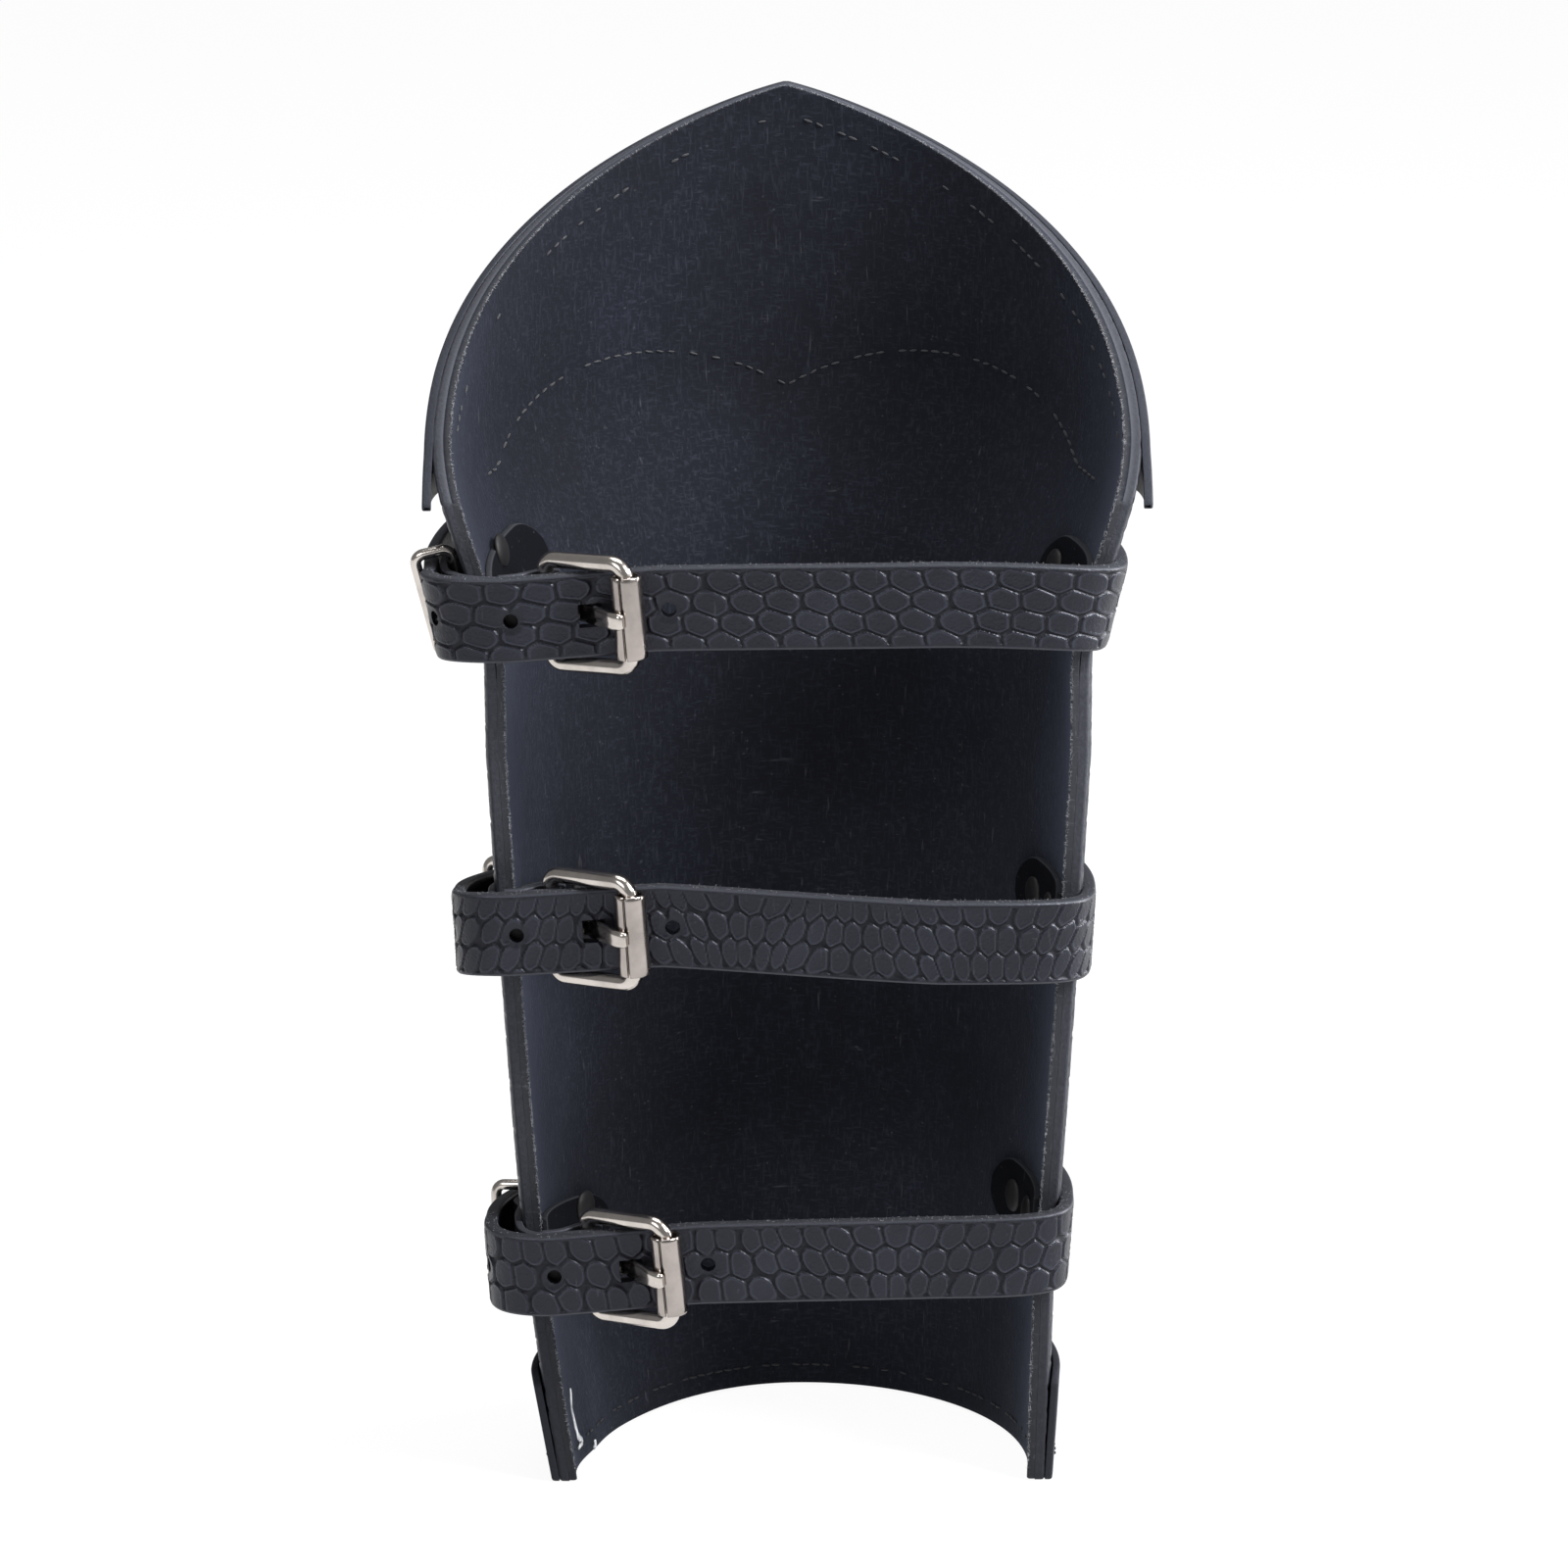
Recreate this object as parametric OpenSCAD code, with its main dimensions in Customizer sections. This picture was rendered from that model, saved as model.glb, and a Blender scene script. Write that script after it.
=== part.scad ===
// Forearm bracer: a trough of two-layer leather for the outer forearm, closed over the inner arm by three buckled straps.
// It stands on its wrist edge. +Z runs up to the elbow, +Y to the outer, convex side and -Y to the open side.
// The origin is the middle of the wrist opening, level with the wrist edge.

/* [Shell] */
// Height from the wrist edge to the tip over the elbow
shell_h = 309; // [300:1:320]
// Outer radius of the outer leather at the wrist
wrist_r = 56; // [53:0.5:59]
// Outer radius of the outer leather at the waist
waist_r = 67; // [65:0.5:69]
// Height of the waist, where the taper of the forearm ends
waist_z = 173; // [165:1:182]
// Outer radius of the outer leather round the elbow
elbow_r = 78; // [75:0.5:81]
// Height at which the flare to the elbow starts
flare_z = 192; // [188:1:196]
// Height of that flare
flare_h = 53; // [46:1:58]
// Height at which the arched top edge leaves the sides
arch_z = 240; // [237:1:245]
// Thickness of the outer leather
leather_t = 2.1; // [1.8:0.1:2.6]
// Thickness of the suede lining
lining_t = 1.7; // [1.2:0.1:2.2]
// How far the long front edges lie in front of the middle plane
edge_y = 8; // [6:0.5:10]

/* [Elbow plate and wrist cuff] */
// Thickness of the elbow plate
plate_t = 2; // [1.6:0.1:2.6]
// How far the lower edge of the elbow plate stands away from the line of the elbow
plate_flare = 0.9; // [0.4:0.1:1.5]
// Height of the lower corners of the elbow plate
plate_low_z = 229; // [227:0.5:230]
// Radius of each lobe in the lower edge of the elbow plate
lobe_r = 68; // [66:1:70]
// Distance of each lobe's middle from the centre line, round the shell
lobe_s = 35.7; // [34:0.1:37]
// Height of each lobe's middle
lobe_z = 176.5; // [174:0.5:178]
// Height of the wrist cuff
cuff_h = 26.5; // [24:0.5:30]
// Thickness of the wrist cuff
cuff_t = 1.8; // [1.5:0.1:2.2]
// How far the top of the wrist cuff stands away from the shell
cuff_flare = 0.8; // [0.3:0.1:0.9]
// Cut at the upper front corners of the wrist cuff
cuff_corner = 3; // [2:0.5:6]

/* [Seams] */
// Width of a line of thread
thread_w = 0.9; // [0.6:0.1:1.2]
// How far a line of thread stands proud of the leather
thread_t = 0.5; // [0.3:0.1:0.8]
// Distance of the seam from the arched top edge
edge_seam_in = 6.5; // [5:0.5:8]
// Distance of the lobed seam from the lower edge of the elbow plate
lobe_seam_in = 4; // [3:0.5:5]
// Height of the seam above the wrist edge
wrist_seam_z = 5; // [4:0.5:7]

/* [Straps] */
// Width of the straps
strap_w = 19; // [18:0.1:19.4]
// Thickness of the straps
strap_t = 3.2; // [2.8:0.1:3.6]
// Width of the anchor straps that hold the buckles
anchor_w = 18; // [17:0.1:18.4]
// Thickness of the anchor straps
anchor_t = 1.8; // [1.5:0.1:2.1]
// How far the front of the anchor straps lies in front of the long edges
anchor_stand = 9.6; // [9:0.1:10.5]
// Distance between the holes of a strap
hole_pitch = 17.5; // [16:0.5:19]
// Radius of a punched hole
hole_r = 1.65; // [1.3:0.05:2]
// Length of a strap's end beyond its keeper ring
tail_l = 33; // [26:1:40]
// Width of the backing tabs on the lining
tab_w = 18; // [16:0.5:20]
// Thickness of the backing tabs
tab_t = 1.5; // [1.2:0.1:2]
// How far the backing tabs of the straps reach towards the back
strap_tab_l = 31; // [27:1:36]
// How far the backing tabs of the anchor straps reach towards the back
anchor_tab_l = 38; // [36:1:42]

/* [Buckles] */
// Radius of the bar that the frame is bent from
bar_r = 1.85; // [1.6:0.05:1.9]
// Distance from the pivot to the middle of the roller
buckle_l = 21; // [20:0.5:23]
// Clear height inside the frame
buckle_in = 19.8; // [19.6:0.1:21]
// Bend of the frame at the roller, at the middle of the bar
roller_bend = 3.5; // [3.2:0.1:4]
// Bend of the frame at the pivot, at the middle of the bar
pivot_bend = 2.6; // [2.2:0.1:2.9]
// Outer radius of the roller
roller_r = 3.5; // [3.4:0.05:3.8]
// Thickness of the roller's sheet metal
roller_wall = 0.85; // [0.7:0.05:0.9]
// Length of the roller
roller_l = 18.6; // [17.5:0.1:18.8]
// Width of the open seam along the roller
roller_seam = 0.7; // [0.4:0.1:1]
// Width of the prong
prong_w = 4.6; // [4:0.1:5]
// Thickness of the prong
prong_t = 2; // [1.6:0.1:2.2]
// Thickness of the prong's eye round the pivot
eye_t = 1.3; // [1:0.1:1.5]

/* [Keeper rings] */
// Radius of the ring's wire
ring_r = 1.25; // [1.1:0.05:1.4]
// Bend of the ring at its corners, at the middle of the wire
ring_bend = 2.1; // [1.9:0.1:2.4]
// Clear height inside a ring
ring_in = 20; // [19.8:0.1:21]

/* [Rivets] */
// Radius of the rivets' heads
rivet_head_r = 3.8; // [3:0.1:4.2]
// Height of the rivets' heads
rivet_head_h = 1.2; // [0.8:0.1:1.5]
// Radius of the rivets' shanks
rivet_r = 1.4; // [1:0.1:1.6]
// Distance between the middles of two rivets
rivet_pitch = 9.8; // [9:0.1:10.2]
// Radius of the small rivets' heads in the anchor folds
fold_head_r = 2.6; // [2:0.1:3]

/* [Hidden] */

// Colours
black_leather = [0.09, 0.09, 0.10];
black_suede = [0.13, 0.13, 0.16];
black_thread = [0.25, 0.25, 0.28];
nickel = [0.78, 0.76, 0.74];
dark_metal = [0.20, 0.20, 0.21];

// Clearances: a glue line, a running fit, a soft fit and the seat of a flat head on a curved face
bond = 0.1;
running = 0.08;
soft = 0.3;
seat = 0.22;

// Smoothness of the exact round faces
$fn = 64;

// The three straps, each as [left height, height at the pivot, front height, right height, slope, pivot x, bow,
// ring angle, fall, bulge]. Heights are of the middle of the strap. The slope is in degrees and rises to the right.
// The fall is the height lost towards the back for each unit of length. The bulge is the reach of the left bend.
UPPER = [206, 208, 210.7, 207.4, 4.5, -52.4, 1, 180, -0.12, 8.3];
MIDDLE = [132.3, 135.9, 134.3, 132, 3.5, -52.4, 4, 158, 0.2, 8];
LOWER = [54.3, 55.5, 59.1, 59.3, 5, -45, 1, 165, 0.15, 6.8];
function left_z(k) = k[0];
function pivot_z(k) = k[1];
function front_z(k) = k[2];
function right_z(k) = k[3];
function slope(k) = k[4];
function pivot_x(k) = k[5];
function bow(k) = k[6];
function ring_a(k) = k[7];
function fall(k) = k[8];
function bulge(k) = k[9];

// Shell: radius of the outer leather's outer face at a height, straight between the points of its profile
function ease(t) = t <= 0 ? 0 : t >= 1 ? 1 : t * t * (3 - 2 * t);
function taper(t) = t <= 0 ? 0 : t >= 1 ? 1 : t * (1.3 - 0.3 * t);
function smooth_r(z) = wrist_r + (waist_r - wrist_r) * taper(z / waist_z) + (elbow_r - waist_r) * ease((z - flare_z) / flare_h);
above = 5;
profile_z = concat(
  [for (i = [0:6]) waist_z * i / 6],
  [flare_z],
  [for (i = [1:8]) flare_z + flare_h * i / 8],
  [shell_h + above]
);
profile = [for (z = profile_z) [z, smooth_r(z)]];
function shell_r(z) = lookup(z, profile);
lining_out = leather_t + bond;
lining_in = lining_out + lining_t;

// A band of revolution between two offsets from the shell's outer face
module band(z0, z1, inner, outer) {
  zs = concat([z0], [for (z = profile_z) if (z > z0 + 0.01 && z < z1 - 0.01) z], [z1]);
  n = len(zs);
  rotate_extrude()
    polygon(concat(
      [for (z = zs) [shell_r(z) + outer, z]],
      [for (i = [n - 1:-1:0]) [shell_r(zs[i]) + inner, zs[i]]]
    ));
}

// Everything behind the plane of the long edges
deep = 120;
module behind_edges() {
  intersection() {
    children();
    translate([-deep, -edge_y, -1]) cube([2 * deep, edge_y + deep, shell_h + 2 * above]);
  }
}

// Heights of edges at an angle round the shell: the pointed arch, falling away towards the long edges
arch_h = shell_h - arch_z;
corner_fall = 1.5;
function past_side(a) = min(max(-a, a - 180, 0), 6.5);
function arch_edge(a) =
  past_side(a) > 0 ? arch_z - corner_fall * past_side(a)
  : arch_z + arch_h * pow(1 - pow(abs(cos(a)), 1.1), 0.4);

// The lower edge of the elbow plate: two lobes, then nearly straight to the front corners
function round_s(a) = (a - 90) / 180 * PI * (elbow_r - 4);
lobe_end = 63;
function lobe_height(a, r) = lobe_z + sqrt(max(r * r - pow(abs(round_s(a)) - lobe_s, 2), 0));
function plate_edge(a) =
  abs(a - 90) <= lobe_end ? lobe_height(a, lobe_r)
  : mix(lobe_height(90 + lobe_end, lobe_r), plate_low_z, min((abs(a - 90) - lobe_end) / 30, 1));

// A fan round the axis between two heights, each given for every step of the angle, cut square to the shell's face
fan_step = 2.4;
fan_a = [for (i = [-41:41]) 90 + fan_step * i];
fan_in = elbow_r - 10;
fan_out = elbow_r + 8;
module fan(low, high, low_in = fan_in) {
  n = len(fan_a);
  points = [for (i = [0:n - 1]) each [
    around(fan_out, fan_a[i], low[i]), around(low_in, fan_a[i], low[i]),
    around(fan_in, fan_a[i], high[i]), around(fan_out, fan_a[i], high[i])
  ]];
  tube_of_fours(points, n);
}

// A closed tube through sets of four points, clockwise as seen along it
module tube_of_fours(points, n) {
  sides = [for (i = [0:n - 2], j = [0:3]) let (a = 4 * i + j, b = 4 * i + (j + 1) % 4) each [[a, a + 4, b], [b, a + 4, b + 4]]];
  last = 4 * (n - 1);
  polyhedron(points, concat(sides, [[0, 1, 2], [0, 2, 3], [last, last + 2, last + 1], [last, last + 3, last + 2]]));
}

module below_arch() {
  fan([for (a = fan_a) -1], [for (a = fan_a) arch_edge(a)], 20);
}

// Places of a strap's rivets: on the right side along the strap, on the left side one above the other behind the ring
strap_rivet_a = [8, 20];
anchor_rivet_back = 13.5;
function lean(z) = atan((shell_r(z + strap_w / 2) - shell_r(z - strap_w / 2)) / strap_w);
function mid_r(z) = (shell_r(z + strap_w / 2) + shell_r(z - strap_w / 2)) / 2;
function chord_r(z, h) = mid_r(z) + h * tan(lean(z));
// How far the shell stands in front of its straight chord, and behind it
function proud(z, h) = shell_r(z + h) - chord_r(z, h);
function hollow(z, h) = chord_r(z, h) - shell_r(z + h);

// Height of the left part of a strap at an angle round the shell, and the turn that follows its fall
left_turn_a = 183.5;
function side_z(k, a) = left_z(k) - fall(k) * (left_turn_a - a) / 180 * PI * mid_r(left_z(k));
function fall_turn(k) = atan(fall(k));
function skew(k, h) = h * fall(k) / mid_r(left_z(k)) * 180 / PI;
function rivet_a(k) = ring_a(k) - anchor_rivet_back;

// Puts its children at an angle round the shell and a height, with +X out of the shell's face and +Z up along it
module on_shell(a, z) {
  rotate([0, 0, a]) translate([mid_r(z), 0, z]) rotate([0, lean(z), 0]) children();
}

module at_strap_rivets(k) {
  for (a = strap_rivet_a) on_shell(a, right_z(k)) children();
}

module at_anchor_rivets(k) {
  for (side = [-1, 1]) on_shell(rivet_a(k), side_z(k, rivet_a(k))) rotate([fall_turn(k), 0, 0])
    translate([0, 0, side * rivet_pitch / 2]) children();
}

module rivet_hole() {
  translate([-12, 0, 0]) rotate([0, 90, 0]) cylinder(r = rivet_r + running, h = 24);
}

module all_rivet_holes() {
  for (k = [UPPER, MIDDLE, LOWER]) {
    at_strap_rivets(k) rivet_hole();
    at_anchor_rivets(k) rivet_hole();
  }
}

module outer_shell() {
  color(black_leather)
  difference() {
    behind_edges() intersection() {
      band(0, shell_h + above, -leather_t, 0);
      below_arch();
    }
    all_rivet_holes();
  }
}

// The lining ends a little above the wrist edge, so that the bracer stands on its outer leather
lining_lift = 0.3;
module suede_lining() {
  color(black_suede)
  difference() {
    behind_edges() intersection() {
      band(lining_lift, shell_h + above, -lining_in, -lining_out);
      below_arch();
    }
    all_rivet_holes();
  }
}

// The elbow plate: its inner face follows the elbow and stands off below the start of the arch
plate_bottom = plate_low_z - 8;
function plate_r(z) = elbow_r + bond + plate_flare * min(max((arch_z - z) / (arch_z - plate_bottom), 0), 1);

module elbow_plate() {
  color(black_leather)
  behind_edges() intersection() {
    rotate_extrude()
      polygon([
        [plate_r(plate_bottom), plate_bottom], [plate_r(plate_bottom) + plate_t, plate_bottom],
        [plate_r(arch_z) + plate_t, arch_z], [plate_r(arch_z) + plate_t, shell_h + above],
        [plate_r(arch_z), shell_h + above], [plate_r(arch_z), arch_z],
      ]);
    fan([for (a = fan_a) plate_edge(a)], [for (a = fan_a) arch_edge(a)]);
  }
}

// The wrist cuff is sewn on at its lower edge and stands off a little at its upper edge, which is bevelled
cuff_bevel = 0.9;
function cuff_r(z) = mix(wrist_r, shell_r(cuff_h) + cuff_flare, z / cuff_h) + bond;
module wrist_cuff() {
  color(black_leather)
  difference() {
    behind_edges() rotate_extrude()
      polygon([
        [cuff_r(0), 0], [cuff_r(0) + cuff_t, 0], [cuff_r(cuff_h - cuff_bevel) + cuff_t, cuff_h - cuff_bevel],
        [cuff_r(cuff_h) + cuff_t - cuff_bevel, cuff_h], [cuff_r(cuff_h), cuff_h],
      ]);
    translate([-deep, -edge_y, cuff_h]) rotate([45, 0, 0])
      translate([0, -cuff_corner / sqrt(2), -cuff_corner / sqrt(2)]) cube([2 * deep, cuff_corner * sqrt(2), cuff_corner * sqrt(2)]);
  }
}

// A line of thread along a path of [angle, height], between two distances from the axis given as functions of the height
function path_dir(p, i) =
  let (a = p[max(i - 1, 0)], b = p[min(i + 1, len(p) - 1)], d = [round_s(b[0]) - round_s(a[0]), b[1] - a[1]])
  d / norm(d);
function beside_path(p, i, d) =
  let (u = path_dir(p, i), s = round_s(p[i][0]) - u[1] * d) [90 + s / (elbow_r - 4) * 180 / PI, p[i][1] + u[0] * d];
module thread(p, outside) {
  n = len(p);
  points = [for (i = [0:n - 1]) let (a = beside_path(p, i, -thread_w / 2), b = beside_path(p, i, thread_w / 2))
    each [
      around(thread_r(a[1], outside) + thread_t, a[0], a[1]), around(thread_r(a[1], outside), a[0], a[1]),
      around(thread_r(b[1], outside), b[0], b[1]), around(thread_r(b[1], outside) + thread_t, b[0], b[1])
    ]];
  tube_of_fours(points, n);
}
function thread_r(z, outside) = outside ? plate_r(z) + plate_t + 1.3 * bond : shell_r(z) - lining_in - 1.3 * bond - thread_t;

// The seam inside the arch: each half is laid off square from the edge and they meet below the tip
function inside_arch(a) =
  let (
    d = [round_s(a + 0.5) - round_s(a - 0.5), arch_edge(a + 0.5) - arch_edge(a - 0.5)],
    u = d / norm(d),
    s = round_s(a) + edge_seam_in * u[1]
  )
  [90 + s / (elbow_r - 4) * 180 / PI, arch_edge(a) - edge_seam_in * u[0]];
arch_path = concat(
  [for (a = [3:3:87]) inside_arch(a)],
  [[90, shell_h - 1.06 * edge_seam_in]],
  [for (a = [93:3:177]) inside_arch(a)]
);
module arch_seam() {
  color(black_thread)
  for (outside = [false, true]) thread(arch_path, outside);
}

// The seam over the lobes runs on, nearly level, to meet the seam inside the arch
lobe_path = [for (a = [16:2:164]) [a, abs(a - 90) <= 65 ? lobe_height(a, lobe_r + lobe_seam_in)
  : lobe_height(155, lobe_r + lobe_seam_in) - 0.1 * (abs(a - 90) - 65)]];
module lobed_seam() {
  color(black_thread)
  for (outside = [false, true]) thread(lobe_path, outside);
}

module wrist_seam() {
  color(black_thread) {
    behind_edges() band(wrist_seam_z - thread_w / 2, wrist_seam_z + thread_w / 2, -lining_in - bond - thread_t, -lining_in - bond);
    behind_edges() rotate_extrude() translate([cuff_r(wrist_seam_z) + cuff_t + bond, wrist_seam_z - thread_w / 2]) square([thread_t, thread_w]);
  }
}

// Strap routes. Each edge of a strap follows its own line in the plan view, so that the strap leans with the shell.
// The buckle: the strap lies straight between the anchor's fold and the roller
fold_r = bar_r + running + anchor_t;
pivot_y = -edge_y - anchor_stand + fold_r;
strap_front = fold_r + soft + strap_t;
strap_y = pivot_y - fold_r - soft - strap_t / 2;
roller_stand = strap_front + soft + roller_r;
buckle_tilt = asin(roller_stand / buckle_l);
roller_dx = buckle_l * cos(buckle_tilt);

// The keeper ring: its inner leg lies between the shell and the anchor strap, its outer leg outside the strap's end
// Both straps are laid off level, so on a leaning face they lie higher inside the ring, and the ring is lifted with them
function ring_z(k) = side_z(k, ring_a(k));
function ring_lean(k) = lean(ring_z(k));
function round_up(x) = ceil(20 * x - 0.001) / 20;
function ring_half(k) =
  let (l = ring_lean(k))
  round_up(strap_w / 2 / cos(l) + strap_t / 2 * tan(l) + (ring_in - strap_w) / 2) + ring_r;
ring_stack = 2 * ring_r + anchor_t + strap_t / 2 + 3 * soft;
function ring_lift(k) = ring_stack * tan(ring_lean(k));
function ring_first(k) =
  let (reach = ring_half(k) + ring_r)
  round_up(soft + max(0, proud(ring_z(k), ring_lift(k) + reach), proud(ring_z(k), ring_lift(k) - reach))) + ring_r;
function ring_anchor(k) = ring_first(k) + ring_r + soft + anchor_t / 2;
function ring_tail(k) = ring_anchor(k) + anchor_t / 2 + soft + strap_t / 2;
function ring_out(k) = ring_tail(k) + strap_t / 2 + soft + ring_r;
// Lays a distance off level instead of square to the leaning face
function level(k, d) = d / cos(lean(left_z(k)));

function bezier(p, t) = p[0] * pow(1 - t, 3) + p[1] * 3 * t * pow(1 - t, 2) + p[2] * 3 * t * t * (1 - t) + p[3] * pow(t, 3);
function around(r, a, z) = [r * cos(a), r * sin(a), z];
function mix(a, b, t) = a + (b - a) * t;

// Fixed end, right bend, front, buckle, left bend and free end of a strap, for its lower edge (side -1) or upper edge (side 1)
fixed_a = 31;
turn_a = -3;
buckle_room = 6;
tail_turn_a = 182.5;
function tail_a(k) = ring_a(k) - tail_l / (mid_r(left_z(k)) + ring_tail(k)) * 180 / PI;
function tail_off(k, a) = mix(ring_tail(k), max(bulge(k), ring_tail(k)), ease((a - ring_a(k) - 3) / 20));
function buckle_z(k, x) = pivot_z(k) + (x - pivot_x(k)) * tan(slope(k));
function right_r(k, h) = shell_r(right_z(k) + h) + 2 * bond + strap_t / 2;
function strap_edge(k, side) =
  let (
    h = side * strap_w / 2,
    a0 = around(right_r(k, h), turn_a, 0),
    front = [0.5 * waist_r, strap_y - bow(k), 0],
    s1 = [pivot_x(k) + roller_dx + buckle_room, strap_y, 0],
    s2 = [pivot_x(k) - fold_back, strap_y, 0],
    turn = tail_turn(k, h),
    right_bend = [a0, a0 + [0, -14, 0], front + [28, 0, 0], front],
    front_run = [front, front - [20, 0, 0], s1 + [18, 0, 0], s1]
  )
  concat(
    [for (a = [fixed_a:-4.25:turn_a + 1]) let (hh = h * end_width((fixed_a - a) / 5)) around(right_r(k, hh), a, right_z(k) + hh)],
    [for (t = [0:0.1:0.95]) bezier(right_bend, t) + [0, 0, mix(right_z(k), front_z(k), ease(t)) + h]],
    [for (t = [0:0.1:0.95]) bezier(front_run, t) + [0, 0, mix(front_z(k), buckle_z(k, s1[0]), t) + h]],
    [for (t = [0:0.125:0.99]) mix(s1, s2, t) + [0, 0, buckle_z(k, mix(s1, s2, t)[0]) + h]],
    [for (t = [1:-0.1:0.05]) bezier(turn, t) + [0, 0, turn_z(k, t) + h]],
    [for (i = [0:16]) let (a = mix(tail_turn_a, tail_a(k), i / 16), z = side_z(k, a), hh = h * end_width((16 - i) / 3))
      around(chord_r(z, hh) + level(k, tail_off(k, a)), a - skew(k, hh) * i / 16, z + hh)]
  );
// The left bend: the anchor strap hugs the long edge, and the strap's free end makes a wider bend outside it
function anchor_at(k, h, a) = around(chord_r(left_z(k), h) + level(k, anchor_lift(k, a)), a, 0);
function left_turn(k, h) =
  let (
    a0 = anchor_at(k, h, left_turn_a),
    d = anchor_at(k, h, left_turn_a + 0.5) - anchor_at(k, h, left_turn_a - 0.5),
    end = [pivot_x(k) - fold_back, anchor_y, 0]
  )
  [a0, a0 + 7 / norm(d) * d, end - [7, 0, 0], end];
function tail_turn(k, h) =
  let (
    off = tail_off(k, tail_turn_a),
    a0 = around(chord_r(left_z(k), h) + level(k, off), tail_turn_a, 0),
    wide = chord_r(left_z(k), 0.3 * h) + bulge(k) + 2
  )
  [a0, a0 - [max(0, bulge(k) - off) + 0.6, 6, 0], [-wide, strap_y + 0.3, 0], [pivot_x(k) - fold_back, strap_y, 0]];
function turn_z(k, t) = mix(left_z(k), buckle_z(k, pivot_x(k) - fold_back), ease(t));
// Rounds the end of a strap: 0 at the very end, 1 where the strap has its whole width
function end_width(t) = t >= 1 ? 1 : sqrt(max(0.2, 1 - pow(1 - t, 2)));

// The anchor strap: riveted behind the ring, lifted over the ring's inner leg, then round the front edge to the pivot
anchor_back = 19;
ring_behind = 3.6;
ring_before = 2.3;
ring_ramp = 6;
fold_back = 9;
anchor_y = pivot_y - fold_r + anchor_t / 2;
function from_ring(k, a) = a > ring_a(k) ? a - ring_a(k) - ring_before : ring_a(k) - a - ring_behind;
function anchor_lift(k, a) = mix(ring_anchor(k), 2 * bond + anchor_t / 2, ease(from_ring(k, a) / ring_ramp));
function anchor_edge(k, side) =
  let (
    h = side * anchor_w / 2,
    first = ring_a(k) - anchor_back,
    turn = left_turn(k, h)
  )
  concat(
    [for (i = [0:24]) let (a = mix(first, left_turn_a, i / 24), z = side_z(k, a))
      around(chord_r(z, h) + level(k, anchor_lift(k, a)), a - skew(k, h) * (1 - i / 24), z + h)],
    [for (t = [0.1:0.1:1.05]) bezier(turn, t) + [0, 0, turn_z(k, t) + h]]
  );

// A strip of leather between its two edges, with its thickness laid off square to the route in the plan view
function flat_dir(p, i) =
  let (a = p[max(i - 1, 0)], b = p[min(i + 1, len(p) - 1)], d = [b[0] - a[0], b[1] - a[1]])
  d / norm(d);
function off_route(p, i, d) = let (u = flat_dir(p, i)) [p[i][0] + u[1] * d, p[i][1] - u[0] * d, p[i][2]];
module strip(low, high, t) {
  n = len(low);
  points = [for (i = [0:n - 1]) each [
    off_route(low, i, t / 2), off_route(low, i, -t / 2), off_route(high, i, -t / 2), off_route(high, i, t / 2)
  ]];
  tube_of_fours(points, n);
}

// Length along a route and the place at a length, for the punched holes
function mid_route(k) = let (a = strap_edge(k, -1), b = strap_edge(k, 1)) [for (i = [0:len(a) - 1]) (a[i] + b[i]) / 2];
function lengths(p) = [for (i = 0, s = 0; i < len(p); i = i + 1, s = s + (i < len(p) ? norm(p[i] - p[i - 1]) : 0)) s];
function segment(l, s, i = 0) = i >= len(l) - 2 || l[i + 1] > s ? i : segment(l, s, i + 1);
module at_length(p, l, s) {
  i = segment(l, s);
  d = p[i + 1] - p[i];
  here = mix(p[i], p[i + 1], (s - l[i]) / (l[i + 1] - l[i]));
  translate(here) rotate([0, 0, atan2(d[1], d[0])]) children();
}

// The buckle's own place: its pivot is the local Z axis, the strap runs along X and the wearer's side is +Y
module at_pivot(k) {
  translate([pivot_x(k), pivot_y, pivot_z(k)]) rotate([0, -slope(k), 0]) children();
}

// The prong's middle line beside the pivot, seen along it, as [along the strap, forwards]
prong_angle = 58.5;
prong_in = [8, fold_r - 0.35];
prong_mid = [for (d = [0, 11.2]) prong_in + d * [cos(prong_angle), sin(prong_angle)]];
prong_rest = roller_r + prong_t / 2 + 0.1;
prong_tip_a = [150, 128, 104];
function prong_line() = concat(
  [[bar_r + eye_t / 2, 0.5], [5, 1.1], prong_in],
  [for (d = [2.5, 5, 7.5]) prong_in + d * [cos(prong_angle), sin(prong_angle)]],
  [for (a = prong_tip_a) [roller_dx, roller_stand] + prong_rest * [cos(a), sin(a)]]
);
function line_dir(p, i) = let (d = p[min(i + 1, len(p) - 1)] - p[max(i - 1, 0)]) d / norm(d);
function beside(p, i, d) = let (u = line_dir(p, i)) p[i] + d * [-u[1], u[0]];
module thick_line(p, t) {
  n = len(p);
  polygon(concat([for (i = [0:n - 1]) beside(p, i, t / 2)], [for (i = [n - 1:-1:0]) beside(p, i, -t / 2)]));
}

// The worn hole round the prong: it slants with the prong and has room for the buckle's swing
swing_room = 2.1;
module prong_hole(k) {
  mouth = prong_w + 2 * soft;
  at_pivot(k) translate([prong_in[0], -prong_in[1], 0]) rotate([0, 0, -prong_angle])
    translate([-4, -prong_t / 2 - soft - swing_room, -mouth / 2]) cube([14, prong_t + 2 * soft + swing_room, mouth]);
}

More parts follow.
